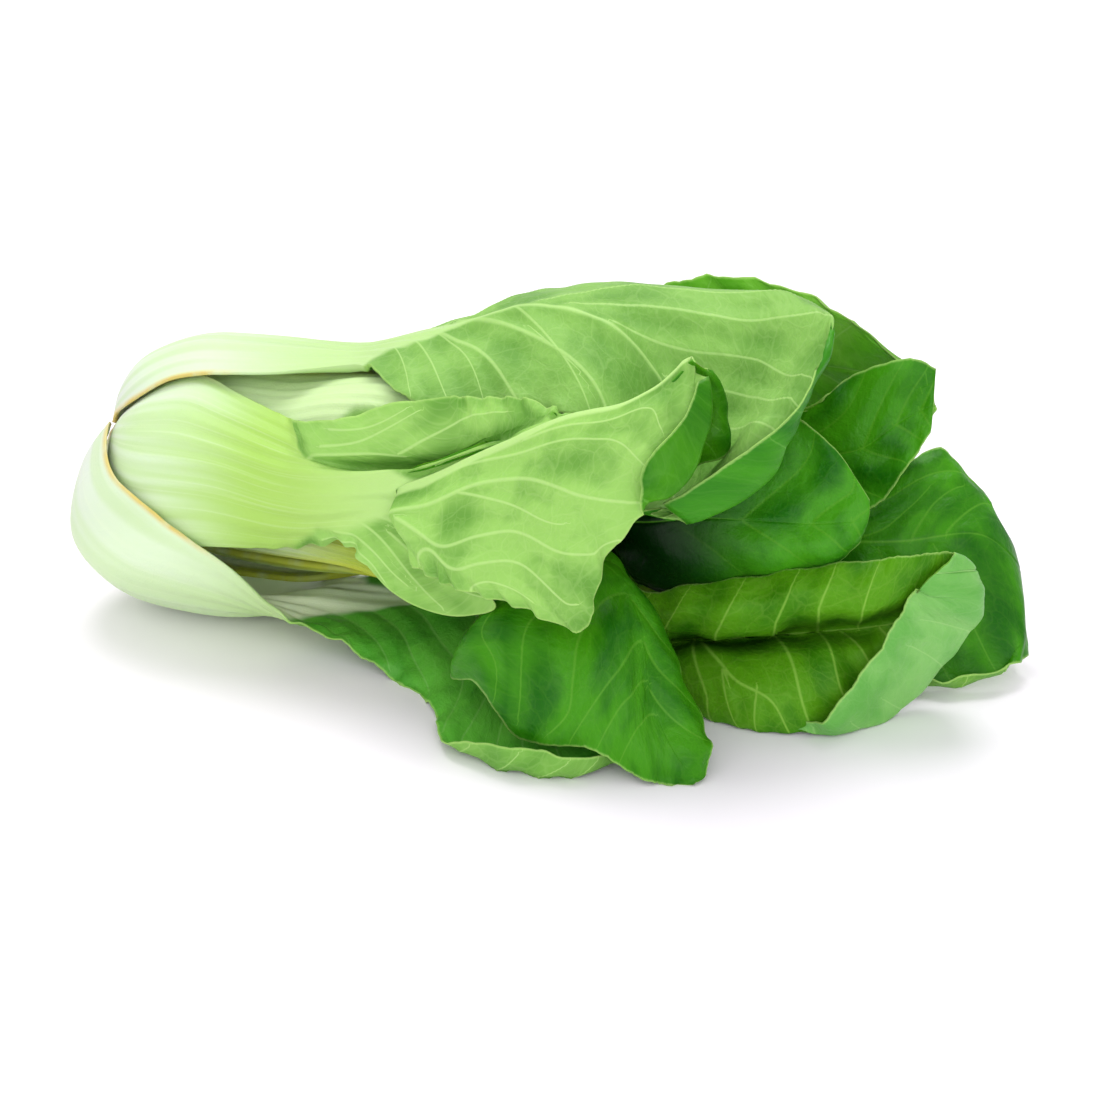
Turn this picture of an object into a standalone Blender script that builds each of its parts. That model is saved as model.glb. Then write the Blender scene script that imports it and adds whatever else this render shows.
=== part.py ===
"""A head of bok choy, the short green-stalked kind, cut from its root and lying on its side.

Fourteen leaves grow in whorls from one short stem.  Each leaf is one closed solid: a thick pale
stalk that wraps round the bulb, and a thin blade with its rib.  The rows of points that shape a
leaf are in millimetres and run from its left margin over the rib to its right margin, as seen
from outside with the leaf pointing away.  +X runs from the cut base to the leaf tips, +Z is up,
and the head rests on Z = 0 with the middle of its box over the origin.
"""
import math

import bmesh
import bpy
import numpy as np

MM = 0.001

# Driving dimensions, in millimetres.
AXIS_HEIGHT = 35.0            # the bulb's axis over the table, so also its radius
CROWN_RISE = 6.0              # how far the axis climbs towards the cut base
CROWN_RISE_START = -85.0      # where that climb begins
CROWN_RISE_LENGTH = 27.0
HEAD_MIDDLE = (9.41, -7.07)     # middle of the head's box in the rows' frame, moved to the origin

BLADE_THICKNESS = 0.9
PRESSED_FLAT = 0.6            # the under leaf is flattened on the table below this height

# The stalk and rib at stations along a leaf: the foot, the bulb, the neck, just past the neck
# and the tip.  The places of the bulb and of what lies past the neck follow the neck's own.
RIB_EXTRA = (2.2, 5.2, 4.2, 2.2, 0.2)      # thickness added to the blade's, at its middle
RIB_HALF_WIDTH = (6.0, 17.0, 15.0, 5.0, 1.5)
RIB_RAISED = (0.0, 0.0, 0.1, 0.8, 0.8)     # the share of it that stands out on the outer side
BULB_SHARE = 0.45             # place of the bulb, as a share of the neck's
PAST_NECK = 0.13              # from the neck to the plain rib, as a share of the leaf's length

FINE_CELLS = 4                # the sheet is worked out this much finer than the solid
SMOOTHING_ROUNDS = 6
EVEN_SPACING_POWER = 0.75
CELLS_PER_COLUMN = 2          # faces between two neighbouring columns of points

# The stem inside the crown: (x, radius) stations.
STEM = ((-105.6, 4.8), (-105.2, 6.3), (-104, 6.9), (-102, 6.5), (-98, 5.8), (-95, 5.2), (-92, 4.4),
        (-90, 3.9), (-89, 2.8))
STEM_SIDES = 24

# Outlines of the bulb as (x, radius) stations from a leaf's foot to its neck.
FRONT = ((-103.5, 8), (-102, 12.5), (-98, 18.8), (-91.8, 26.2), (-83.5, 31.9), (-75, 34.8), (-64, 35))
FRONT_LEFT = ((-103, 7.6), (-101, 12), (-96.5, 18), (-90.4, 25), (-83, 30.5), (-75, 33), (-64, 33))
FRONT_RIGHT = ((-103.3, 7.8), (-102, 12.2), (-98, 19.3), (-92, 26.2), (-83.2, 31.8), (-75, 34),
               (-64, 33.5))
TOP = ((-106, 8), (-105.5, 13), (-104, 18.5), (-99.5, 26), (-93, 32), (-83, 36.8),
       (-70, 37.8), (-57, 38.2))
TOP_SIDE = ((-105, 8), (-103, 12.5), (-98, 18.9), (-91.5, 26.4), (-84, 32.6), (-75, 35.7),
            (-67, 36.8), (-55.6, 37.6))
UNDER = ((-106, 8), (-109.5, 13), (-111, 20), (-110, 27), (-104.5, 32.5), (-94, 35),
         (-80, 35), (-66, 34.5))
UNDER_LEFT = ((-104.9, 8.4), (-103.3, 13), (-98.9, 20.6), (-92.5, 28), (-83, 34.2), (-74, 36.5),
              (-66, 36), (-58, 34.5))
UNDER_RIGHT = ((-106, 8), (-107.5, 13), (-107, 19.5), (-104, 25.5), (-97.5, 31), (-88, 34.5),
               (-77, 35.5), (-64, 35.5))
BACK = ((-106, 8), (-107.5, 13), (-106.5, 19), (-103, 25), (-95.5, 30), (-85, 33),
        (-71, 33.5), (-55, 33.5))
BACK_RIGHT = ((-102, 8), (-99.5, 12), (-95.5, 17), (-90, 22.5), (-83, 27), (-75, 29.5),
              (-66, 30.5), (-55, 31))
RIGHT = ((-102, 8), (-101.5, 12.5), (-99.5, 18.5), (-95, 25), (-88, 30.5), (-80, 33),
         (-70, 33), (-55, 32.5))
MIDDLE_TOP = ((-96.3, 7.6), (-94.8, 11), (-91.2, 16), (-86, 22.5), (-79, 27.5), (-69, 30), (-53, 30.5))
MIDDLE_TOP_LEFT = ((-96.3, 7), (-94.8, 10), (-91.2, 15), (-86, 21.5), (-79, 27), (-69, 30), (-53, 32))
DEEP = ((-96.3, 7.6), (-94.8, 10.5), (-91.2, 13.5), (-85.7, 17), (-79, 20), (-69, 21), (-53, 21))
MIDDLE = ((-96.3, 7.6), (-94.8, 11), (-91.2, 15), (-85.7, 19.5), (-79, 23), (-69, 24.8), (-53, 24.5))
INNER = ((-91.6, 6.6), (-89.8, 9.2), (-85.5, 12.2), (-77, 15), (-66, 16), (-53, 15.5))
HEART = ((-87.5, 4.2), (-78, 6.3), (-60, 8), (-40, 8))

# Blades, row after row from just past the neck to the tip.
OUTER_LEAF_TOP_BLADE = [
    [(-40, 28, 61), (-40, 26, 65), (-40, 22, 68.5), (-39, 16, 71), (-38, 9, 73), (-37, 3, 73.5),
     (-37, -3, 72.5)],
    [(-27, 27, 66), (-27, 25, 70), (-27, 20, 74), (-26, 13, 76), (-25, 6, 77.5), (-26, -2, 77),
     (-28, -9, 75)],
    [(-16, 33, 70), (-16, 30, 75), (-15, 25, 79), (-13, 16, 82), (-12, 5, 82), (-12.5, -7.5, 78.5),
     (-15, -19.5, 73)],
    [(-1, 40, 72), (-2, 37, 77), (0, 29, 85), (2, 20, 89), (6, 5, 90), (7.5, -8.5, 83), (7, -20.5, 73)],
    [(16, 42, 76), (16, 38, 82), (20, 30, 90.5), (24, 18, 94.5), (26, 1, 91), (28.5, -10.5, 84.5),
     (30, -20.5, 75.5)],
    [(48, 36, 84), (49, 30, 89), (54, 18, 97), (50, 9, 94), (42, -2.5, 80.5), (42.5, -13.5, 75),
     (39, -23.5, 69.5)],
    [(77, 12, 95), (79, 8, 99), (80, 1, 101), (67, -3, 89), (48.5, -7.5, 70.5), (43.5, -16, 65.5),
     (40, -24.5, 63.5)],
    [(85.5, -19, 93.5), (85, -10, 95.5), (80, -11, 89), (70, -15, 78), (53, -21, 62), (48, -26, 60),
     (44, -30, 60)],
    [(81.5, -24, 86), (81, -20, 82.5), (77.5, -20, 81), (69, -24, 76), (54, -26, 58.5), (50, -29, 57.5),
     (47, -31, 58)],
    [(76, -30, 78.5), (78, -24, 72), (74.5, -25, 72), (68, -27, 68.5), (55, -28, 56.5), (51.5, -30, 57),
     (49, -31.5, 57.5)],
    [(66.5, -36, 72), (71, -31, 65), (68, -31, 65), (63.5, -31, 63), (59, -31, 60.5), (56.5, -32, 60.5),
     (54, -32.5, 60.5)],
    [(55.5, -38, 64), (59.5, -34.5, 59), (58, -34, 58.5), (56.5, -34, 58.5), (54.5, -34, 58.5),
     (53, -34, 58.5), (51.5, -34.5, 59)],
]
OUTER_LEAF_FRONT_BLADE = [
    [(-46, -20, 63.5), (-44.5, -24, 61), (-44, -27, 58), (-43, -30, 55), (-43, -31.5, 50), (-43, -31.5, 45),
     (-43.5, -30, 39.5), (-44.5, -28, 34.5), (-45, -26, 31.5)],
    [(-39, -27, 66.5), (-36.5, -29, 60.5), (-32.5, -28.5, 57), (-29, -31, 56.5), (-27.5, -32, 51.5),
     (-27, -33, 47.5), (-27, -32.5, 43.5), (-27, -32, 39.5), (-27, -31, 37.5)],
    [(-29, -27, 68.5), (-25, -29, 61), (-22, -26, 55.5), (-21, -32, 58), (-21, -32, 53), (-21, -32.5, 49),
     (-21, -33, 44.5), (-20, -35, 39.5), (-21, -36, 36)],
    [(-20, -26, 72.5), (-17.5, -29, 62), (-15, -25.5, 56), (-15, -32.5, 60), (-17, -32, 54),
     (-16, -32.5, 49.5), (-13, -34.5, 44), (-10.5, -39, 37), (-9.5, -42, 31.5)],
    [(-13, -26, 75), (-10.5, -29, 63), (-8, -26, 58), (-9.5, -33, 61.5), (-14.5, -32.5, 54.5),
     (-11.5, -32.5, 49.5), (-4, -36, 43.5), (2.5, -40.5, 35), (6.5, -43, 29)],
    [(-8, -26, 76), (-6, -29, 63.5), (-3, -26.5, 60), (-3, -33.5, 64), (-12.5, -32.5, 55.5),
     (-9, -33.5, 50), (2, -37, 44.5), (12.5, -42.5, 37.5), (18, -45, 34.5)],
    [(-1, -25, 77.5), (3, -29, 65.5), (3.5, -27, 64), (3, -34, 67), (-10.5, -33, 56), (-13.5, -35.5, 53),
     (-13, -39, 49.5), (-8.5, -42.5, 46), (-4.5, -45, 42)],
    [(4.5, -25, 78), (8.5, -29, 69.5), (8.5, -28, 67.5), (10, -34, 70.5), (-2, -34, 60.5), (-4, -37.5, 57),
     (-3, -42, 53), (-0.5, -46, 47.5), (3, -48.5, 41)],
    [(14, -24, 79), (16.5, -28, 74), (15.5, -28.5, 72), (16, -33.5, 73.5), (8, -35, 67), (6.5, -39.5, 62),
     (6, -45, 53), (8.5, -50, 45), (11.5, -51, 40.5)],
    [(26, -27.5, 79), (26, -29.5, 79.5), (25, -30, 78.5), (25, -33, 78.5), (19.5, -36, 74), (19.5, -41, 67),
     (20, -47, 55.5), (24, -53, 45), (27.5, -54, 40)],
    [(38.5, -25.5, 69.5), (38, -27, 73), (36.5, -27.5, 75.5), (36, -31.5, 79.5), (32.5, -36, 81.5),
     (32, -42.5, 74.5), (33.5, -50, 59), (39.5, -56, 44), (43.5, -57, 38.5)],
    [(49.5, -25.5, 68.5), (48.5, -26.5, 73), (46, -25, 76), (45.5, -29, 81), (43.5, -35, 85),
     (42.5, -41, 79), (42.5, -47, 69), (44.5, -50.5, 58.5), (45.5, -50, 54)],
    [(57.5, -23.5, 68), (56.5, -24.5, 73.5), (53.5, -23, 77.5), (52, -27, 83.5), (49, -33, 88),
     (49, -38, 84), (49, -42.5, 75.5), (50.5, -45.5, 67.5), (52.5, -46, 64)],
    [(63.5, -22.5, 69.5), (62.5, -23, 75), (60, -22, 80.5), (57.5, -25.5, 87), (52.5, -31, 90.5),
     (53, -35.5, 87), (53, -40, 80.5), (57.5, -42, 68.5), (53.5, -47, 67.5)],
    [(65, -19, 73.5), (64, -20.5, 79), (62, -22, 84.5), (59.5, -25, 90), (55, -28.5, 93.5), (56, -32, 90.5),
     (57.5, -35.5, 85), (62.5, -38.5, 75), (52, -45, 74.5)],
    [(63.5, -19, 82), (63, -21, 86.5), (62, -23, 90), (60.5, -25, 93), (57, -27, 95.5), (58.5, -28.5, 93),
     (60.5, -32, 89), (64, -33, 85), (59.5, -39, 84.5)],
    [(61, -25, 93.5), (60.5, -25.5, 94), (60, -26, 95), (59, -26.5, 96), (58, -27, 96.5), (58.5, -27.5, 95),
     (59.5, -28, 93.5), (61.5, -28.5, 92.5), (60.5, -31, 91.5)],
]
OUTER_LEAF_UNDER_BLADE = [
    [(-47.5, -25, 11), (-49, -20, 8), (-48, -13, 5.5), (-46.5, -5, 5), (-46, 2, 4.5), (-46, 8, 5),
     (-46, 14, 5.5)],
    [(-35.5, -25, 8.5), (-34.5, -19, 7), (-33.5, -10, 6), (-32, 0, 5.5), (-31.5, 6, 5.5), (-31, 11, 6),
     (-30.5, 16, 6.5)],
    [(-25.5, -26, 4.5), (-23, -19, 6), (-21, -10, 7), (-18, 1, 8), (-16, 6, 7.5), (-13.5, 11, 7),
     (-12, 16, 6)],
    [(-15.5, -28, 0), (-12.5, -21, 4), (-9, -12, 6.5), (-4, -2, 7.5), (2, 6, 6.5), (8, 14, 5), (12, 22, 4)],
    [(-2.5, -37.5, 0.5), (3.5, -29, 4.5), (8, -20, 6), (12, -12, 6.5), (18, -3, 5), (24, 6, 3.5),
     (28, 16, 3)],
    [(9.5, -59, 4), (13, -56.5, 1), (17, -38, 3.5), (23, -27, 5), (27, -16, 4), (31, -6, 3), (32, 2, 3)],
    [(26, -64, 8.5), (27, -62, 1), (27, -49, 2.5), (30, -37, 4.5), (33, -29, 4.5), (36, -21, 4),
     (38, -14, 3.5)],
    [(42, -61, 7), (43, -58.5, 1), (42, -50, 2.5), (41, -43, 4), (42, -38, 4.5), (43, -32, 4.5),
     (44, -27, 4)],
    [(53, -51, 4.5), (52.5, -49.5, 2.5), (51, -46, 3.5), (50, -43.5, 4), (50, -41, 4.5), (50, -38.5, 4.5),
     (50, -36, 4.5)],
]
OUTER_LEAF_BACK_BLADE = [
    [(-31, 31, 25), (-31, 34.5, 30), (-30, 36, 37), (-30, 35, 43), (-30, 31, 49)],
    [(-2, 36, 27), (-4, 40, 36), (-5, 42, 46), (-7, 41, 55), (-9, 38, 62)],
    [(28, 44, 40), (25, 46, 49), (20, 46, 58), (15, 45, 68), (10, 44, 72)],
    [(55, 46, 46), (51, 47, 55), (45, 46, 66), (38, 46, 78), (31.5, 44, 87)],
    [(75, 45, 52), (71, 46, 60), (65, 44, 70), (60, 42, 82), (51, 39, 92)],
    [(92, 41, 54), (88, 42, 62), (83, 41, 71), (80, 39, 82), (71, 37, 89.5)],
    [(99, 37, 60), (98, 37, 64), (96, 37, 69), (94, 37, 75), (86.5, 36, 80.5)],
    [(102, 35, 66), (101.5, 35, 67.5), (101, 35, 69), (100, 35.5, 71), (99, 36, 73)],
]
OUTER_LEAF_RIGHT_BLADE = [
    [(-38, 15, 8), (-38, 18, 8.5), (-38, 20.5, 9.5), (-38, 23, 11.5), (-38, 26, 14.5), (-38, 29, 20)],
    [(-20, 19, 9), (-20, 21.5, 10), (-20, 23.5, 11), (-20, 25.5, 13.5), (-21, 27, 18), (-22, 29.5, 25)],
    [(10, 11, 8), (9, 16, 9.5), (7, 21, 12), (5, 26, 16), (2, 31, 24), (-2, 33.5, 33)],
    [(44, 8, 6.5), (42, 13, 9.5), (38, 19, 15), (34, 25, 22), (30, 33, 33), (26, 38, 44)],
    [(78, 9, 3), (76, 13, 10), (72, 18, 19), (66, 23, 29), (61, 31, 38), (57, 38, 46)],
    [(105, 8.5, 4.5), (103.5, 12.5, 1), (99.5, 16.5, 15), (91, 19, 35), (92, 25, 40), (92.5, 32, 46)],
    [(113, 9.5, 5), (112.5, 14, 1), (107, 19, 16), (100.5, 22, 35.5), (100.5, 30, 43), (99, 41, 53)],
    [(120.5, 13.5, 6), (121, 18, 2), (116, 23, 16), (109, 26, 37), (108, 34, 44), (105.5, 42, 51)],
    [(127.5, 21.5, 6.5), (128, 24, 7), (125, 27.5, 15), (117, 31, 35.5), (115.5, 37, 39.5), (112, 42, 42.5)],
    [(129.5, 28, 6), (127, 29.5, 13.5), (126, 31, 20), (124, 34, 26.5), (122, 37, 30), (119, 41, 33)],
    [(125, 36, 4), (123.5, 38, 10), (122, 42, 14), (120, 45, 19), (118, 47, 22), (115.5, 49, 25)],
]
MIDDLE_LEAF_DRAPED_BLADE = [
    [(-28, -21, 37), (-28, -23, 34.5), (-28, -24, 32), (-28, -24, 29.5), (-28, -23, 27.5), (-28, -21, 26)],
    [(-14, -22, 38), (-14, -24.5, 35), (-13, -25.5, 31.5), (-12, -25, 28), (-12, -23.5, 25.5),
     (-12, -21, 23)],
    [(2, -30, 36), (2, -31, 35), (3, -29, 33), (5, -25, 31), (8, -19, 29), (10, -14, 27)],
    [(12, -40, 27), (13, -39, 30), (15, -35, 33.5), (18, -25, 37), (23, -16, 35), (26, -10, 31)],
    [(2.5, -40, 10), (11, -43.5, 27), (20, -37, 37), (27, -25, 39.5), (30, -17, 38), (31, -11, 35.5)],
    [(14, -50, 17.5), (20, -48, 27.5), (27.5, -39, 36.5), (33, -25, 40.5), (34.5, -18, 39),
     (34.5, -13, 35.5)],
    [(24, -56.5, 8.5), (31, -53, 23), (35, -43, 33), (38, -27, 39.5), (39, -22, 38), (39, -18, 35)],
    [(33.5, -58.5, 8), (39.5, -55, 19), (44, -47, 28.5), (45, -32, 36), (46.5, -27, 34), (47, -22, 29)],
    [(45.5, -57.5, 8.5), (47.5, -54.5, 15), (50, -50, 23.5), (50.5, -38, 29.5), (53, -34, 28.5),
     (54, -28, 22.5)],
    [(54, -56, 3), (54.5, -54.5, 8.5), (54, -51, 14.5), (54, -44, 20.5), (58, -40, 20.5), (60.5, -34, 15.5)],
    [(61, -54.5, 0.5), (60.5, -53, 3), (60, -51, 6.5), (59.5, -48, 10.5), (64.5, -45, 11.5), (68, -41, 7.5)],
    [(66, -53, 0), (66.5, -52.5, 0.5), (66.5, -52.5, 1.5), (67, -51.5, 2.5), (69, -49, 3.5), (70.5, -46, 5)],
    [(68.5, -52.5, 0.5), (69, -52.5, 1), (69, -52, 1), (69.5, -51.5, 1), (70, -50.5, 1), (70.5, -49.5, 1.5)],
]
MIDDLE_LEAF_TOP_BLADE = [
    [(-38, 13, 66.5), (-38, 4, 68), (-38, -8, 69), (-38, -15, 67), (-38, -20, 62.5)],
    [(-24, 10, 70), (-24, 0, 71.5), (-24, -10, 71.5), (-24, -16, 68.5), (-24, -20, 65)],
    [(-3, 10, 77), (-4, 0, 77), (-5, -10, 74), (-5, -17, 69), (-5, -20, 64)],
    [(20, 14, 82), (21, 2, 81), (22, -8, 76), (23, -14, 70), (23, -16, 64)],
    [(44, 12, 84), (44, 3, 79), (43, -5, 72), (42, -10, 66), (41, -12, 61)],
    [(60, 4, 76), (59, 1, 73), (57, -3, 68), (55, -6, 64), (54, -8, 60)],
]
MIDDLE_LEAF_BACK_BLADE = [
    [(-20, 20, 18), (-20, 22.5, 21), (-20, 24, 25), (-20, 24, 29), (-20, 22.5, 33)],
    [(14, 22, 23), (12, 26, 28), (10, 28, 34), (8, 28, 41), (6, 26, 48)],
    [(46, 24, 35), (44, 26, 40), (40, 28, 46), (35, 28, 54), (30, 27, 62)],
    [(76, 20, 40), (72, 23, 46), (66, 26, 53), (62, 28, 61), (71, 27, 63.5)],
    [(91.5, 18, 45), (88.5, 22, 50), (86.5, 24, 57), (82.5, 27, 64.5), (80.5, 29, 73)],
    [(98, 22, 54), (96, 25, 58), (93.5, 27, 63.5), (91, 29, 70), (89.5, 31, 77.5)],
    [(100.5, 25, 59.5), (100, 27, 62.5), (99.5, 29, 67.5), (98, 31, 73), (98, 33, 79.5)],
    [(102.5, 27, 63), (102.5, 28, 65.5), (102.5, 29, 69), (102, 31, 73), (101.5, 33, 76.5)],
]
MIDDLE_LEAF_FLOOR_BLADE = [
    [(-28, -9, 18.5), (-28, -5, 17), (-28, -1, 16.5), (-28, 3, 17), (-28, 7, 18.5)],
    [(-5, -12, 15.5), (-6, -6, 14.5), (-6, 0, 14.5), (-6, 6, 15), (-5, 12, 16.5)],
    [(20, -2, 14), (20, 1, 14), (20, 5, 15), (20, 9, 16.5), (19, 14, 19)],
    [(36, 8, 15), (36, 9, 16), (36, 11, 18), (35, 13, 20), (34, 15, 23)],
    [(44, 11, 18), (44, 12, 19), (44, 13, 20), (43, 14, 21.5), (42, 15, 23)],
]
INNER_LEAF_FRONT_BLADE = [
    [(-25, -11, 44), (-25, -12, 42), (-25, -12.5, 40), (-25, -12.5, 37), (-25, -12, 34), (-25, -11, 32),
     (-25, -10, 30), (-25, -9, 29)],
    [(-3, -7, 44), (-3, -9, 42), (-2, -10, 39), (-1, -10, 36), (0, -10, 32), (1, -9, 29), (2, -8, 26),
     (2, -7, 25)],
    [(22, -4, 41), (22, -7, 38), (23, -8, 34), (24, -7, 30), (25, -9, 25), (26, -11, 20), (27, -11, 15),
     (27, -10, 13)],
    [(32, -8, 33), (33, -11, 30), (34, -10.5, 25), (32.5, -3, 17), (35, -11, 17.5), (38, -15, 12),
     (40, -14, 6), (40, -12, 4.5)],
    [(41, -10, 26.5), (43, -14, 23), (43.5, -13, 18), (40.5, 0, 8.5), (45.5, -12, 11), (50.5, -18, 5),
     (53, -18, 0.5), (53, -14.5, 2)],
    [(53.5, -10, 30.5), (56, -16, 26.5), (56.5, -14.5, 20.5), (54, 3, 9.5), (60, -12, 13.5), (66.5, -21, 8),
     (70, -22, 0.5), (70, -17, 2)],
    [(68.5, -9, 34.5), (71, -16, 30.5), (71, -15, 22.5), (68, 4, 12.5), (74.5, -12, 16), (80, -20, 10),
     (83, -21, 0.5), (83, -16, 2.5)],
    [(83, -8, 39), (85, -14, 36), (85.5, -14, 31.5), (82.5, 4, 16), (87, -9, 18), (90.5, -16, 11.5),
     (95, -15.5, 1.5), (92, -24, 7)],
    [(94.5, -6, 41.5), (96.5, -12, 37.5), (97, -12, 31.5), (93.5, 4, 19), (96.5, -4, 18), (99, -7, 10),
     (103, -4, 1), (95.5, -18, 12.5)],
    [(105, -5, 44), (106, -9, 40), (106, -9, 34), (104.5, 1, 24.5), (106, 1, 19.5), (107.5, 3, 12.5),
     (110, 5, 8.5), (101, -13, 21)],
    [(114.5, -4, 46), (115, -4, 43.5), (115.5, -3, 39.5), (116.5, 0, 34.5), (117.5, 2, 29.5),
     (118, 4, 25.5), (120.5, 5, 25.5), (106, -10, 32)],
    [(116.5, -3, 46), (118, -2, 45), (119.5, -1, 43), (121, 0, 40.5), (122, 1, 38), (123, 2, 35.5),
     (122.5, 0, 34.5), (109, -10, 38)],
    [(116, -6, 46), (115.5, -7.5, 45.5), (114.5, -8.5, 44.5), (113.5, -9, 43), (112.5, -10, 42),
     (111.5, -10, 40.5), (110.5, -10.5, 39), (110, -10.5, 38)],
]
INNER_LEAF_HOLLOW_BLADE = [
    [(-20, 4, 22), (-20, 7, 23), (-20, 9.5, 25), (-20, 11, 28), (-20, 12, 31)],
    [(12, 0, 26), (10, 3, 27), (8, 6, 30), (6, 9, 35), (4, 10, 41)],
    [(30, -2, 33), (27, -1, 36), (24, 1, 41), (22, 3, 48), (20, 5, 56)],
    [(44, -8, 26), (43, -12, 36), (41.5, -12, 46), (42, -6, 54.5), (41, 0, 62.5)],
    [(58.5, -7, 29), (58, -11, 39.5), (55.5, -9, 48), (54.5, -2, 57.5), (53, 6, 66)],
    [(72.5, -5, 33), (72, -9, 42), (69.5, -6, 48), (68.5, 1, 59.5), (67.5, 8, 69.5)],
    [(85.5, -4, 37.5), (85.5, -7, 44), (83.5, -4, 48.5), (83, 1, 58), (77.5, 5, 70)],
    [(91.5, -4, 42.5), (92, -5, 45.5), (91.5, -3, 50), (92, 0, 54.5), (87.5, 3, 63)],
    [(93.5, -2.5, 45), (94, -2.5, 47), (95, -2, 50.5), (95, -1, 52.5), (94.5, 0.5, 54.5)],
]
INNER_LEAF_UPPER_BLADE = [
    [(-20, 14, 42), (-20, 12, 45), (-20, 9, 48), (-20, 5, 50), (-20, 0, 51)],
    [(8, 19, 46), (7, 18, 52), (5, 15, 58), (4, 10, 62), (3, 4, 64)],
    [(35, 19, 48), (34, 18.5, 56), (32, 17, 63), (31, 13, 70), (30, 9, 74)],
    [(60, 19, 52), (59, 18, 59), (57, 17, 66), (56, 14, 73), (55, 11, 78)],
    [(74, 17, 58), (74, 17, 62), (73, 16, 66), (72, 14, 71), (71, 12, 75)],
]
HEART_LEAF_BACK_BLADE = [
    [(-18, 4, 33), (-18, 6, 37), (-18, 7, 41), (-18, 6, 45), (-18, 4, 49)],
    [(0, 3.5, 36), (0, 5, 40), (0, 5.5, 45), (0, 5, 50), (0, 3.5, 54)],
    [(12, 2, 43), (12, 3, 45), (12, 3.5, 48), (12, 3, 51), (12, 2, 53)],
]
HEART_LEAF_FRONT_BLADE = [
    [(-18, -4, 49), (-18, -6, 45), (-18, -7, 41), (-18, -6, 37), (-18, -4, 33)],
    [(0, -3.5, 54), (0, -5, 50), (0, -5.5, 45), (0, -5, 40), (0, -3.5, 36)],
    [(12, -2, 53), (12, -3, 51), (12, -3.5, 48), (12, -3, 45), (12, -2, 43)],
]

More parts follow.
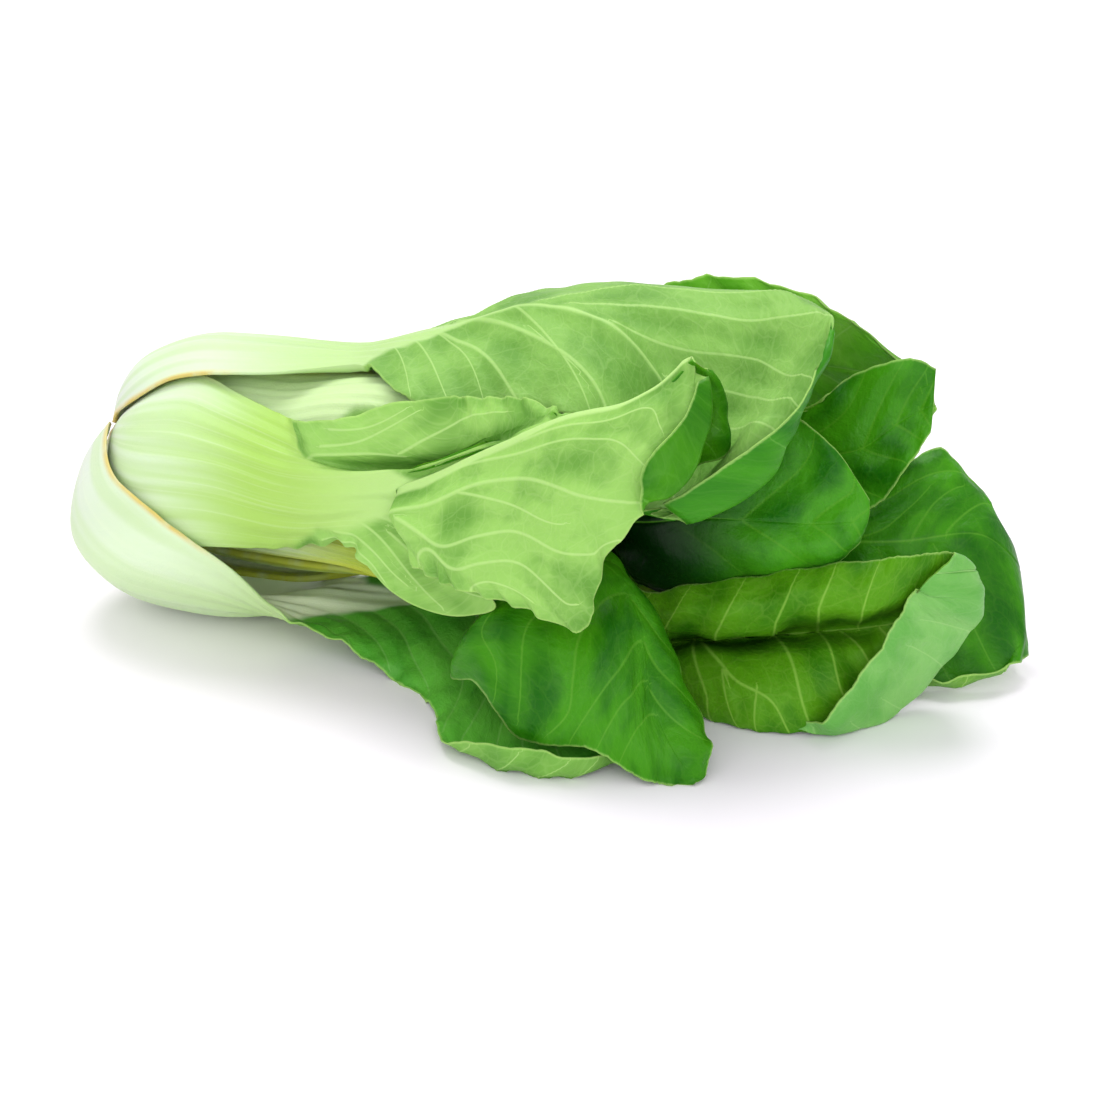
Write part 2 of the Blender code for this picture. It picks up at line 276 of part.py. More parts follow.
# For each leaf: the angle at which its stalk stands round the bulb, in degrees from the front
# up over the top; how far the stalk reaches to the left and to the right of that, at every
# station or at all of them; its outlines; the columns of points left and right of the rib; its
# blade; how much thinner it is than an outer leaf; faces along and across it; and its colour.
LEAVES = {
    "outer_leaf_top": dict(
        angle=112, left_reach=(40, 42, 43, 43, 42, 41, 39, 34),
        right_reach=(42, 44, 46, 45, 43, 42, 41, 39),
        outline=TOP, left_outline=TOP_SIDE, right_outline=TOP_SIDE,
        columns=(4, 2), blade=OUTER_LEAF_TOP_BLADE, girth=1.0, cells=24,
        colour=(0.17, 0.33, 0.10)),
    "outer_leaf_front": dict(
        angle=30, left_reach=(45, 48, 48, 47, 46, 45, 37), right_reach=(42, 42, 42, 42, 40, 37, 35),
        outline=FRONT, left_outline=FRONT_LEFT, right_outline=FRONT_RIGHT,
        columns=(4, 4), blade=OUTER_LEAF_FRONT_BLADE, girth=1.0, past_neck=0.07, cells=28,
        colour=(0.17, 0.33, 0.10)),
    "outer_leaf_under": dict(
        angle=303, left_reach=(120, 113, 84, 74, 70, 63, 55, 44),
        right_reach=(40, 44, 46, 48, 52, 58, 60, 58),
        outline=UNDER, left_outline=UNDER_LEFT, right_outline=UNDER_RIGHT,
        columns=(3, 3), blade=OUTER_LEAF_UNDER_BLADE, girth=1.0, cells=20,
        pressed=True, colour=(0.08, 0.20, 0.04)),
    "outer_leaf_back": dict(
        angle=178, left_reach=28, right_reach=(24, 24, 26, 28, 30, 32, 33, 33),
        outline=BACK, left_outline=BACK, right_outline=BACK_RIGHT,
        columns=(2, 2), blade=OUTER_LEAF_BACK_BLADE, girth=0.9, cells=16,
        colour=(0.09, 0.25, 0.03)),
    "outer_leaf_right": dict(
        angle=236, left_reach=(31, 31, 31, 31, 31, 31, 30, 28), right_reach=33, outline=RIGHT,
        tuck=5,
        columns=(3, 2), blade=OUTER_LEAF_RIGHT_BLADE, girth=0.9, cells=18,
        colour=(0.06, 0.18, 0.02)),
    "middle_leaf_draped": dict(
        angle=345, left_reach=24, right_reach=24, outline=DEEP, tuck=2,
        columns=(3, 2), blade=MIDDLE_LEAF_DRAPED_BLADE, girth=0.65, cells=20,
        colour=(0.06, 0.18, 0.02)),
    "middle_leaf_top": dict(
        angle=78, left_reach=(28, 28, 30, 32, 34, 36, 38), right_reach=28, outline=MIDDLE_TOP,
        left_outline=MIDDLE_TOP_LEFT, tuck=1,
        columns=(2, 2), blade=MIDDLE_LEAF_TOP_BLADE, girth=0.65, cells=14,
        colour=(0.10, 0.24, 0.03)),
    "middle_leaf_back": dict(
        angle=207, left_reach=25, right_reach=25, outline=MIDDLE, tuck=2,
        columns=(2, 2), blade=MIDDLE_LEAF_BACK_BLADE, girth=0.65, cells=16,
        colour=(0.04, 0.14, 0.02)),
    "middle_leaf_floor": dict(
        angle=272, left_reach=25, right_reach=25, outline=DEEP, tuck=2,
        columns=(2, 2), blade=MIDDLE_LEAF_FLOOR_BLADE, girth=0.65, cells=12,
        colour=(0.05, 0.16, 0.02)),
    "inner_leaf_front": dict(
        angle=15, left_reach=26, right_reach=26, outline=INNER, tuck=1,
        columns=(3, 4), blade=INNER_LEAF_FRONT_BLADE, girth=0.5, cells=20,
        colour=(0.13, 0.29, 0.07)),
    "inner_leaf_hollow": dict(
        angle=228, left_reach=27, right_reach=27, outline=INNER, tuck=1,
        columns=(2, 2), blade=INNER_LEAF_HOLLOW_BLADE, girth=0.5, cells=16,
        colour=(0.04, 0.14, 0.02)),
    "inner_leaf_upper": dict(
        angle=118, left_reach=27, right_reach=27, outline=INNER, tuck=1,
        columns=(2, 2), blade=INNER_LEAF_UPPER_BLADE, girth=0.5, cells=14,
        colour=(0.10, 0.26, 0.03)),
    "heart_leaf_back": dict(
        angle=165, left_reach=60, right_reach=60, outline=HEART,
        columns=(2, 2), blade=HEART_LEAF_BACK_BLADE, girth=0.3, cells=10,
        colour=(0.30, 0.42, 0.08)),
    "heart_leaf_front": dict(
        angle=345, left_reach=60, right_reach=60, outline=HEART,
        columns=(2, 2), blade=HEART_LEAF_FRONT_BLADE, girth=0.3, cells=10,
        colour=(0.30, 0.42, 0.08)),
}

STALK_COLOUR = (0.62, 0.70, 0.38)
STEM_COLOUR = (0.72, 0.70, 0.52)


def axis_height(x):
    """Height of the bulb's axis at x: level along the bulb and climbing towards the crown."""
    climb = min(max((CROWN_RISE_START - x) / CROWN_RISE_LENGTH, 0.0), 1.0)
    return AXIS_HEIGHT + CROWN_RISE * climb * climb * (3.0 - 2.0 * climb)


def per_station(value, count):
    """A value for every station, whether one was given or one for each."""
    return value if isinstance(value, tuple) else (value,) * count


def places_across(columns, parts=1):
    """Places across a leaf from -1 over the rib at 0 to +1: its columns, and parts between them."""
    left, right = (count * parts for count in columns)
    return np.concatenate([np.linspace(-1.0, 0.0, left + 1)[:-1], np.linspace(0.0, 1.0, right + 1)])


def stalk_rows(leaf):
    """Rows of points round the bulb, one for each station of the leaf's outline."""
    outline = leaf["outline"]
    foot_radius, widest = outline[0][1], max(radius for _, radius in outline)
    tuck_share = leaf.get("tuck", 0) / (widest - foot_radius)
    tucked = tuple((x, radius - tuck_share * (radius - foot_radius)) for x, radius in outline)
    left_outline = leaf.get("left_outline", tucked)
    right_outline = leaf.get("right_outline", tucked)
    left_reach = per_station(leaf["left_reach"], len(outline))
    right_reach = per_station(leaf["right_reach"], len(outline))
    rows = []
    for station, (middle_x, middle_radius) in enumerate(outline):
        row = []
        for place in places_across(leaf["columns"]):
            side = left_outline if place < 0 else right_outline
            reach = left_reach if place < 0 else right_reach
            share = place * place
            x = middle_x + (side[station][0] - middle_x) * share
            radius = middle_radius + (side[station][1] - middle_radius) * share
            angle = math.radians(leaf["angle"] - place * reach[station])
            row.append((x, -radius * math.cos(angle), axis_height(x) + radius * math.sin(angle)))
        rows.append(row)
    return rows


def curve_through(points, knots, places):
    """Smooth cubic curve through points at uneven knots, read at the given places."""
    steps = np.diff(knots)
    per_point = (-1,) + (1,) * (points.ndim - 1)
    slopes = np.diff(points, axis=0) / steps.reshape(per_point)
    weight = (steps[1:] / (steps[:-1] + steps[1:])).reshape(per_point)
    tangents = np.empty_like(points)
    tangents[1:-1] = slopes[:-1] * weight + slopes[1:] * (1.0 - weight)
    tangents[0] = 1.5 * slopes[0] - 0.5 * tangents[1]
    tangents[-1] = 1.5 * slopes[-1] - 0.5 * tangents[-2]
    first = np.clip(np.searchsorted(knots, places, side="right") - 1, 0, len(steps) - 1)
    length = steps[first].reshape(per_point)
    f = ((places - knots[first]) / steps[first]).reshape(per_point)
    start, end = points[first], points[first + 1]
    leaving, arriving = tangents[first] * length, tangents[first + 1] * length
    return (start * (2 * f ** 3 - 3 * f ** 2 + 1) + end * (3 * f ** 2 - 2 * f ** 3)
            + leaving * (f ** 3 - 2 * f ** 2 + f) + arriving * (f ** 3 - f ** 2))


def running_length(steps):
    """Distances from the start, worked out from the steps between neighbours."""
    return np.concatenate([[0.0], np.cumsum(steps)])


def row_knots(rows, rib_column):
    """Where each row lies along the leaf, from 0 at its foot to 1 at its tip."""
    steps = np.linalg.norm(np.diff(rows, axis=0), axis=2)
    weights = np.ones(rows.shape[1])
    weights[rib_column] = 2.0
    knots = running_length((steps * weights).sum(axis=1) / weights.sum())
    return knots / knots[-1]


def leaf_sheet(rows, columns, along, across):
    """Grid of points on the leaf's sheet, along from foot to tip and across from -1 to +1."""
    lengthwise = curve_through(rows, row_knots(rows, columns[0]), along)
    column_places = places_across(columns)
    sheet = np.empty((len(along), len(across), 3))
    for index, row in enumerate(lengthwise):
        steps = np.linalg.norm(np.diff(row, axis=0), axis=1)
        knots = running_length(np.maximum(steps, 0.05) ** EVEN_SPACING_POWER)
        sheet[index] = curve_through(row, knots, np.interp(across, column_places, knots))
    for _ in range(SMOOTHING_ROUNDS):
        sheet[1:-1] += 0.25 * (sheet[:-2] + sheet[2:] - 2.0 * sheet[1:-1])
    return sheet


def outward_normals(sheet):
    """Unit normals on the outer side of the leaf, the side that faces away from its heart."""
    normals = np.cross(np.gradient(sheet, axis=1), np.gradient(sheet, axis=0))
    return normals / np.maximum(np.linalg.norm(normals, axis=2, keepdims=True), 1e-9)


def leaf_skins(leaf):
    """Outer and inner skins of a leaf, as two grids of points that face each other."""
    rows = np.array(stalk_rows(leaf) + leaf["blade"], dtype=float)
    along = np.linspace(0.0, 1.0, leaf["cells"] * FINE_CELLS + 1)
    across = places_across(leaf["columns"], CELLS_PER_COLUMN * FINE_CELLS)
    sheet = leaf_sheet(rows, leaf["columns"], along, across)
    normals = outward_normals(sheet)

    neck = row_knots(rows, leaf["columns"][0])[len(leaf["outline"])]
    stations = (0.0, BULB_SHARE * neck, neck, neck + leaf.get("past_neck", PAST_NECK), 1.0)
    extra = np.interp(along, stations, RIB_EXTRA)[:, None] * leaf["girth"]
    half_width = np.interp(along, stations, RIB_HALF_WIDTH)[:, None] * leaf["girth"]
    raised = np.interp(along, stations, RIB_RAISED)[:, None]
    steps = np.linalg.norm(np.diff(sheet, axis=1), axis=2)
    distance = np.apply_along_axis(running_length, 1, steps)
    rib_column = leaf["columns"][0] * CELLS_PER_COLUMN * FINE_CELLS
    distance = np.abs(distance - distance[:, rib_column][:, None])
    rib = extra * np.exp(-(distance / half_width) ** 2)

    outer = sheet + normals * (rib * raised)[..., None]
    inner = sheet - normals * (BLADE_THICKNESS + rib * (1.0 - raised))[..., None]
    sunk = np.maximum(-np.minimum(outer[..., 2], inner[..., 2]), 0.0)
    outer[..., 2] += sunk
    inner[..., 2] += sunk
    coarse = (slice(None, None, FINE_CELLS), slice(None, None, FINE_CELLS))
    return outer[coarse], inner[coarse]


def placed(point):
    """A point of the rows' frame, in metres and with the head's middle over the origin."""
    return ((point[0] - HEAD_MIDDLE[0]) * MM, (point[1] - HEAD_MIDDLE[1]) * MM, point[2] * MM)


def material(name, colour, roughness):
    """A plain Principled material."""
    made = bpy.data.materials.new(name)
    made.use_nodes = True
    shader = made.node_tree.nodes["Principled BSDF"]
    shader.inputs["Base Color"].default_value = (*colour, 1.0)
    shader.inputs["Roughness"].default_value = roughness
    shader.inputs["Metallic"].default_value = 0.0
    return made


def add_object(name, mesh_builder, materials):
    """Turn a bmesh into a named, smooth-shaded object in the scene."""
    mesh = bpy.data.meshes.new(name)
    mesh_builder.to_mesh(mesh)
    mesh_builder.free()
    for one in materials:
        mesh.materials.append(one)
    mesh.shade_smooth()
    made = bpy.data.objects.new(name, mesh)
    bpy.context.scene.collection.objects.link(made)
    return made


def make_leaf(name, leaf):
    """Build one leaf: its two skins, and the strip that joins them all round its margin."""
    outer, inner = leaf_skins(leaf)
    if leaf.get("pressed"):
        outer[..., 2] = np.where(outer[..., 2] < PRESSED_FLAT, 0.0, outer[..., 2])
    builder = bmesh.new()
    rows, columns = outer.shape[:2]
    outside = [[builder.verts.new(placed(outer[i, j])) for j in range(columns)] for i in range(rows)]
    inside = [[builder.verts.new(placed(inner[i, j])) for j in range(columns)] for i in range(rows)]
    neck_row = int(rows * len(leaf["outline"]) / (len(leaf["outline"]) + len(leaf["blade"])))
    for i in range(rows - 1):
        for j in range(columns - 1):
            top = builder.faces.new((outside[i][j], outside[i][j + 1],
                                     outside[i + 1][j + 1], outside[i + 1][j]))
            under = builder.faces.new((inside[i][j], inside[i + 1][j],
                                       inside[i + 1][j + 1], inside[i][j + 1]))
            top.material_index = under.material_index = int(i < neck_row)
    margin = [(0, j) for j in range(columns)] + [(i, columns - 1) for i in range(1, rows)]
    margin += [(rows - 1, j) for j in range(columns - 2, -1, -1)] + [(i, 0) for i in range(rows - 2, 0, -1)]
    for (i, j), (k, m) in zip(margin, margin[1:] + margin[:1]):
        builder.faces.new((outside[k][m], outside[i][j], inside[i][j], inside[k][m]))
    bmesh.ops.triangulate(builder, faces=builder.faces[:])
    blade = material(name + "_blade", leaf["colour"], 0.45)
    stalk = material(name + "_stalk", STALK_COLOUR, 0.35)
    return add_object(name, builder, (blade, stalk))


def make_stem():
    """Build the short stem that the leaves grow from: rings round the crown's axis, capped."""
    builder = bmesh.new()
    rings = []
    for x, radius in STEM:
        ring = []
        for side in range(STEM_SIDES):
            turn = 2.0 * math.pi * side / STEM_SIDES
            point = (x, radius * math.cos(turn), axis_height(x) + radius * math.sin(turn))
            ring.append(builder.verts.new(placed(point)))
        rings.append(ring)
    for ring, following in zip(rings, rings[1:]):
        for side in range(STEM_SIDES):
            after = (side + 1) % STEM_SIDES
            builder.faces.new((ring[side], ring[after], following[after], following[side]))
    builder.faces.new(rings[0])
    builder.faces.new(rings[-1])
    bmesh.ops.triangulate(builder, faces=builder.faces[:])
    bmesh.ops.recalc_face_normals(builder, faces=builder.faces[:])
    return add_object("stem_base", builder, (material("stem_base", STEM_COLOUR, 0.6),))


def main():
    """Clear the scene and build the head."""
    for old in list(bpy.data.objects):
        bpy.data.objects.remove(old, do_unlink=True)
    make_stem()
    for name, leaf in LEAVES.items():
        make_leaf(name, leaf)


main()
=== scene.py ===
"""Looks of a head of bok choy that lies on its side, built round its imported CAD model.

Each leaf is modelled again as a fine mesh, from the same rows of points as its CAD solid, with
its rib, raised side veins, quilting and toothed margin, and one material for each of its sides.
The tables are in millimetres, in the frame in which the leaves were laid out: +X runs from the
cut base to the leaf tips and +Z is up.
"""
import math
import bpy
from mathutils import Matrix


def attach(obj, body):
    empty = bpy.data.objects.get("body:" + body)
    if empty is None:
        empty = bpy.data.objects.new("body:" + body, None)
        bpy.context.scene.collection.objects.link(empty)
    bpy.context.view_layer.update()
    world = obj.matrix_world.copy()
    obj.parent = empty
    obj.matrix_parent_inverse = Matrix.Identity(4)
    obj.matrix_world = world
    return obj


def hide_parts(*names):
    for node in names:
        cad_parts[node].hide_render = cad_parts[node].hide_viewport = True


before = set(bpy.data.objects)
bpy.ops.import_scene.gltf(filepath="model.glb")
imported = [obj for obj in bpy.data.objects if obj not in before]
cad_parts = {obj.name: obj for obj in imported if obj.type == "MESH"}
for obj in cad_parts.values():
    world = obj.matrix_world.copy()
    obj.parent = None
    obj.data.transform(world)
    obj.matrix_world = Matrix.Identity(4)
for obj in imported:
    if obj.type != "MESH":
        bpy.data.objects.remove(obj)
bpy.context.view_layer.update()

from types import SimpleNamespace

import bpy
import numpy as np
from mathutils import Vector

MM = 0.001

# The view: azimuth from the -Y side towards +X, elevation, lens and distance to the aim.
VIEW_AZIMUTH = 20.0
VIEW_ELEVATION = 25.0
VIEW_LENS = 100.0
VIEW_SENSOR = 36.0
VIEW_DISTANCE = 760.0
VIEW_AIM = (14.0, 0.0, 29.0)

# The bulb's axis, and the middle of the head's box, as in the CAD model.
AXIS_HEIGHT = 35.0
CROWN_RISE = 6.0
CROWN_RISE_START = -85.0
CROWN_RISE_LENGTH = 27.0
HEAD_MIDDLE = (9.41, -7.07)

# The studio, in metres and watts: half the floor's width, how bright the white surroundings are,
# and each light's place, size and power.
FLOOR_HALF = 3.0
WORLD_STRENGTH = 0.76
LIGHTS = (
    ("key", (-0.25, 0.45, 1.30), (1.0, 0.8), 12.0),
    ("fill", (0.6, -1.1, 0.8), (1.0, 1.0), 6.2),
    ("low", (-0.15, -1.1, 0.35), (0.7, 0.7), 1.7),
)

# Outlines of the bulb as (x, radius) stations from a leaf's foot to its neck.
FRONT = ((-103.5, 8), (-102, 12.5), (-98, 18.8), (-91.8, 26.2), (-83.5, 31.9), (-75, 34.8), (-64, 35))
FRONT_LEFT = ((-103, 7.6), (-101, 12), (-96.5, 18), (-90.4, 25), (-83, 30.5), (-75, 33), (-64, 33))
FRONT_RIGHT = ((-103.3, 7.8), (-102, 12.2), (-98, 19.3), (-92, 26.2), (-83.2, 31.8), (-75, 34),
               (-64, 33.5))
TOP = ((-106, 8), (-105.5, 13), (-104, 18.5), (-99.5, 26), (-93, 32), (-83, 36.8),
       (-70, 37.8), (-57, 38.2))
TOP_SIDE = ((-105, 8), (-103, 12.5), (-98, 18.9), (-91.5, 26.4), (-84, 32.6), (-75, 35.7),
            (-67, 36.8), (-55.6, 37.6))
UNDER = ((-106, 8), (-109.5, 13), (-111, 20), (-110, 27), (-104.5, 32.5), (-94, 35),
         (-80, 35), (-66, 34.5))
UNDER_LEFT = ((-104.9, 8.4), (-103.3, 13), (-98.9, 20.6), (-92.5, 28), (-83, 34.2), (-74, 36.5),
              (-66, 36), (-58, 34.5))
UNDER_RIGHT = ((-106, 8), (-107.5, 13), (-107, 19.5), (-104, 25.5), (-97.5, 31), (-88, 34.5),
               (-77, 35.5), (-64, 35.5))
BACK = ((-106, 8), (-107.5, 13), (-106.5, 19), (-103, 25), (-95.5, 30), (-85, 33),
        (-71, 33.5), (-55, 33.5))
BACK_RIGHT = ((-102, 8), (-99.5, 12), (-95.5, 17), (-90, 22.5), (-83, 27), (-75, 29.5),
              (-66, 30.5), (-55, 31))
RIGHT = ((-102, 8), (-101.5, 12.5), (-99.5, 18.5), (-95, 25), (-88, 30.5), (-80, 33),
         (-70, 33), (-55, 32.5))
MIDDLE_TOP = ((-96.3, 7.6), (-94.8, 11), (-91.2, 16), (-86, 22.5), (-79, 27.5), (-69, 30), (-53, 30.5))
MIDDLE_TOP_LEFT = ((-96.3, 7), (-94.8, 10), (-91.2, 15), (-86, 21.5), (-79, 27), (-69, 30), (-53, 32))
DEEP = ((-96.3, 7.6), (-94.8, 10.5), (-91.2, 13.5), (-85.7, 17), (-79, 20), (-69, 21), (-53, 21))
MIDDLE = ((-96.3, 7.6), (-94.8, 11), (-91.2, 15), (-85.7, 19.5), (-79, 23), (-69, 24.8), (-53, 24.5))
INNER = ((-91.6, 6.6), (-89.8, 9.2), (-85.5, 12.2), (-77, 15), (-66, 16), (-53, 15.5))
HEART = ((-87.5, 4.2), (-78, 6.3), (-60, 8), (-40, 8))

# Blades, row after row from just past the neck to the tip.
OUTER_LEAF_TOP_BLADE = [
    [(-40, 28, 61), (-40, 26, 65), (-40, 22, 68.5), (-39, 16, 71), (-38, 9, 73), (-37, 3, 73.5),
     (-37, -3, 72.5)],
    [(-27, 27, 66), (-27, 25, 70), (-27, 20, 74), (-26, 13, 76), (-25, 6, 77.5), (-26, -2, 77),
     (-28, -9, 75)],
    [(-16, 33, 70), (-16, 30, 75), (-15, 25, 79), (-13, 16, 82), (-12, 5, 82), (-12.5, -7.5, 78.5),
     (-15, -19.5, 73)],
    [(-1, 40, 72), (-2, 37, 77), (0, 29, 85), (2, 20, 89), (6, 5, 90), (7.5, -8.5, 83), (7, -20.5, 73)],
    [(16, 42, 76), (16, 38, 82), (20, 30, 90.5), (24, 18, 94.5), (26, 1, 91), (28.5, -10.5, 84.5),
     (30, -20.5, 75.5)],
    [(48, 36, 84), (49, 30, 89), (54, 18, 97), (50, 9, 94), (42, -2.5, 80.5), (42.5, -13.5, 75),
     (39, -23.5, 69.5)],
    [(77, 12, 95), (79, 8, 99), (80, 1, 101), (67, -3, 89), (48.5, -7.5, 70.5), (43.5, -16, 65.5),
     (40, -24.5, 63.5)],
    [(85.5, -19, 93.5), (85, -10, 95.5), (80, -11, 89), (70, -15, 78), (53, -21, 62), (48, -26, 60),
     (44, -30, 60)],
    [(81.5, -24, 86), (81, -20, 82.5), (77.5, -20, 81), (69, -24, 76), (54, -26, 58.5), (50, -29, 57.5),
     (47, -31, 58)],
    [(76, -30, 78.5), (78, -24, 72), (74.5, -25, 72), (68, -27, 68.5), (55, -28, 56.5), (51.5, -30, 57),
     (49, -31.5, 57.5)],
    [(66.5, -36, 72), (71, -31, 65), (68, -31, 65), (63.5, -31, 63), (59, -31, 60.5), (56.5, -32, 60.5),
     (54, -32.5, 60.5)],
    [(55.5, -38, 64), (59.5, -34.5, 59), (58, -34, 58.5), (56.5, -34, 58.5), (54.5, -34, 58.5),
     (53, -34, 58.5), (51.5, -34.5, 59)],
]
OUTER_LEAF_FRONT_BLADE = [
    [(-46, -20, 63.5), (-44.5, -24, 61), (-44, -27, 58), (-43, -30, 55), (-43, -31.5, 50), (-43, -31.5, 45),
     (-43.5, -30, 39.5), (-44.5, -28, 34.5), (-45, -26, 31.5)],
    [(-39, -27, 66.5), (-36.5, -29, 60.5), (-32.5, -28.5, 57), (-29, -31, 56.5), (-27.5, -32, 51.5),
     (-27, -33, 47.5), (-27, -32.5, 43.5), (-27, -32, 39.5), (-27, -31, 37.5)],
    [(-29, -27, 68.5), (-25, -29, 61), (-22, -26, 55.5), (-21, -32, 58), (-21, -32, 53), (-21, -32.5, 49),
     (-21, -33, 44.5), (-20, -35, 39.5), (-21, -36, 36)],
    [(-20, -26, 72.5), (-17.5, -29, 62), (-15, -25.5, 56), (-15, -32.5, 60), (-17, -32, 54),
     (-16, -32.5, 49.5), (-13, -34.5, 44), (-10.5, -39, 37), (-9.5, -42, 31.5)],
    [(-13, -26, 75), (-10.5, -29, 63), (-8, -26, 58), (-9.5, -33, 61.5), (-14.5, -32.5, 54.5),
     (-11.5, -32.5, 49.5), (-4, -36, 43.5), (2.5, -40.5, 35), (6.5, -43, 29)],
    [(-8, -26, 76), (-6, -29, 63.5), (-3, -26.5, 60), (-3, -33.5, 64), (-12.5, -32.5, 55.5),
     (-9, -33.5, 50), (2, -37, 44.5), (12.5, -42.5, 37.5), (18, -45, 34.5)],
    [(-1, -25, 77.5), (3, -29, 65.5), (3.5, -27, 64), (3, -34, 67), (-10.5, -33, 56), (-13.5, -35.5, 53),
     (-13, -39, 49.5), (-8.5, -42.5, 46), (-4.5, -45, 42)],
    [(4.5, -25, 78), (8.5, -29, 69.5), (8.5, -28, 67.5), (10, -34, 70.5), (-2, -34, 60.5), (-4, -37.5, 57),
     (-3, -42, 53), (-0.5, -46, 47.5), (3, -48.5, 41)],
    [(14, -24, 79), (16.5, -28, 74), (15.5, -28.5, 72), (16, -33.5, 73.5), (8, -35, 67), (6.5, -39.5, 62),
     (6, -45, 53), (8.5, -50, 45), (11.5, -51, 40.5)],
    [(26, -27.5, 79), (26, -29.5, 79.5), (25, -30, 78.5), (25, -33, 78.5), (19.5, -36, 74), (19.5, -41, 67),
     (20, -47, 55.5), (24, -53, 45), (27.5, -54, 40)],
    [(38.5, -25.5, 69.5), (38, -27, 73), (36.5, -27.5, 75.5), (36, -31.5, 79.5), (32.5, -36, 81.5),
     (32, -42.5, 74.5), (33.5, -50, 59), (39.5, -56, 44), (43.5, -57, 38.5)],
    [(49.5, -25.5, 68.5), (48.5, -26.5, 73), (46, -25, 76), (45.5, -29, 81), (43.5, -35, 85),
     (42.5, -41, 79), (42.5, -47, 69), (44.5, -50.5, 58.5), (45.5, -50, 54)],
    [(57.5, -23.5, 68), (56.5, -24.5, 73.5), (53.5, -23, 77.5), (52, -27, 83.5), (49, -33, 88),
     (49, -38, 84), (49, -42.5, 75.5), (50.5, -45.5, 67.5), (52.5, -46, 64)],
    [(63.5, -22.5, 69.5), (62.5, -23, 75), (60, -22, 80.5), (57.5, -25.5, 87), (52.5, -31, 90.5),
     (53, -35.5, 87), (53, -40, 80.5), (57.5, -42, 68.5), (53.5, -47, 67.5)],
    [(65, -19, 73.5), (64, -20.5, 79), (62, -22, 84.5), (59.5, -25, 90), (55, -28.5, 93.5), (56, -32, 90.5),
     (57.5, -35.5, 85), (62.5, -38.5, 75), (52, -45, 74.5)],
    [(63.5, -19, 82), (63, -21, 86.5), (62, -23, 90), (60.5, -25, 93), (57, -27, 95.5), (58.5, -28.5, 93),
     (60.5, -32, 89), (64, -33, 85), (59.5, -39, 84.5)],
    [(61, -25, 93.5), (60.5, -25.5, 94), (60, -26, 95), (59, -26.5, 96), (58, -27, 96.5), (58.5, -27.5, 95),
     (59.5, -28, 93.5), (61.5, -28.5, 92.5), (60.5, -31, 91.5)],
]
OUTER_LEAF_UNDER_BLADE = [
    [(-47.5, -25, 11), (-49, -20, 8), (-48, -13, 5.5), (-46.5, -5, 5), (-46, 2, 4.5), (-46, 8, 5),
     (-46, 14, 5.5)],
    [(-35.5, -25, 8.5), (-34.5, -19, 7), (-33.5, -10, 6), (-32, 0, 5.5), (-31.5, 6, 5.5), (-31, 11, 6),
     (-30.5, 16, 6.5)],
    [(-25.5, -26, 4.5), (-23, -19, 6), (-21, -10, 7), (-18, 1, 8), (-16, 6, 7.5), (-13.5, 11, 7),
     (-12, 16, 6)],
    [(-15.5, -28, 0), (-12.5, -21, 4), (-9, -12, 6.5), (-4, -2, 7.5), (2, 6, 6.5), (8, 14, 5), (12, 22, 4)],
    [(-2.5, -37.5, 0.5), (3.5, -29, 4.5), (8, -20, 6), (12, -12, 6.5), (18, -3, 5), (24, 6, 3.5),
     (28, 16, 3)],
    [(9.5, -59, 4), (13, -56.5, 1), (17, -38, 3.5), (23, -27, 5), (27, -16, 4), (31, -6, 3), (32, 2, 3)],
    [(26, -64, 8.5), (27, -62, 1), (27, -49, 2.5), (30, -37, 4.5), (33, -29, 4.5), (36, -21, 4),
     (38, -14, 3.5)],
    [(42, -61, 7), (43, -58.5, 1), (42, -50, 2.5), (41, -43, 4), (42, -38, 4.5), (43, -32, 4.5),
     (44, -27, 4)],
    [(53, -51, 4.5), (52.5, -49.5, 2.5), (51, -46, 3.5), (50, -43.5, 4), (50, -41, 4.5), (50, -38.5, 4.5),
     (50, -36, 4.5)],
]
OUTER_LEAF_BACK_BLADE = [
    [(-31, 31, 25), (-31, 34.5, 30), (-30, 36, 37), (-30, 35, 43), (-30, 31, 49)],
    [(-2, 36, 27), (-4, 40, 36), (-5, 42, 46), (-7, 41, 55), (-9, 38, 62)],
    [(28, 44, 40), (25, 46, 49), (20, 46, 58), (15, 45, 68), (10, 44, 72)],
    [(55, 46, 46), (51, 47, 55), (45, 46, 66), (38, 46, 78), (31.5, 44, 87)],
    [(75, 45, 52), (71, 46, 60), (65, 44, 70), (60, 42, 82), (51, 39, 92)],
    [(92, 41, 54), (88, 42, 62), (83, 41, 71), (80, 39, 82), (71, 37, 89.5)],
    [(99, 37, 60), (98, 37, 64), (96, 37, 69), (94, 37, 75), (86.5, 36, 80.5)],
    [(102, 35, 66), (101.5, 35, 67.5), (101, 35, 69), (100, 35.5, 71), (99, 36, 73)],
]
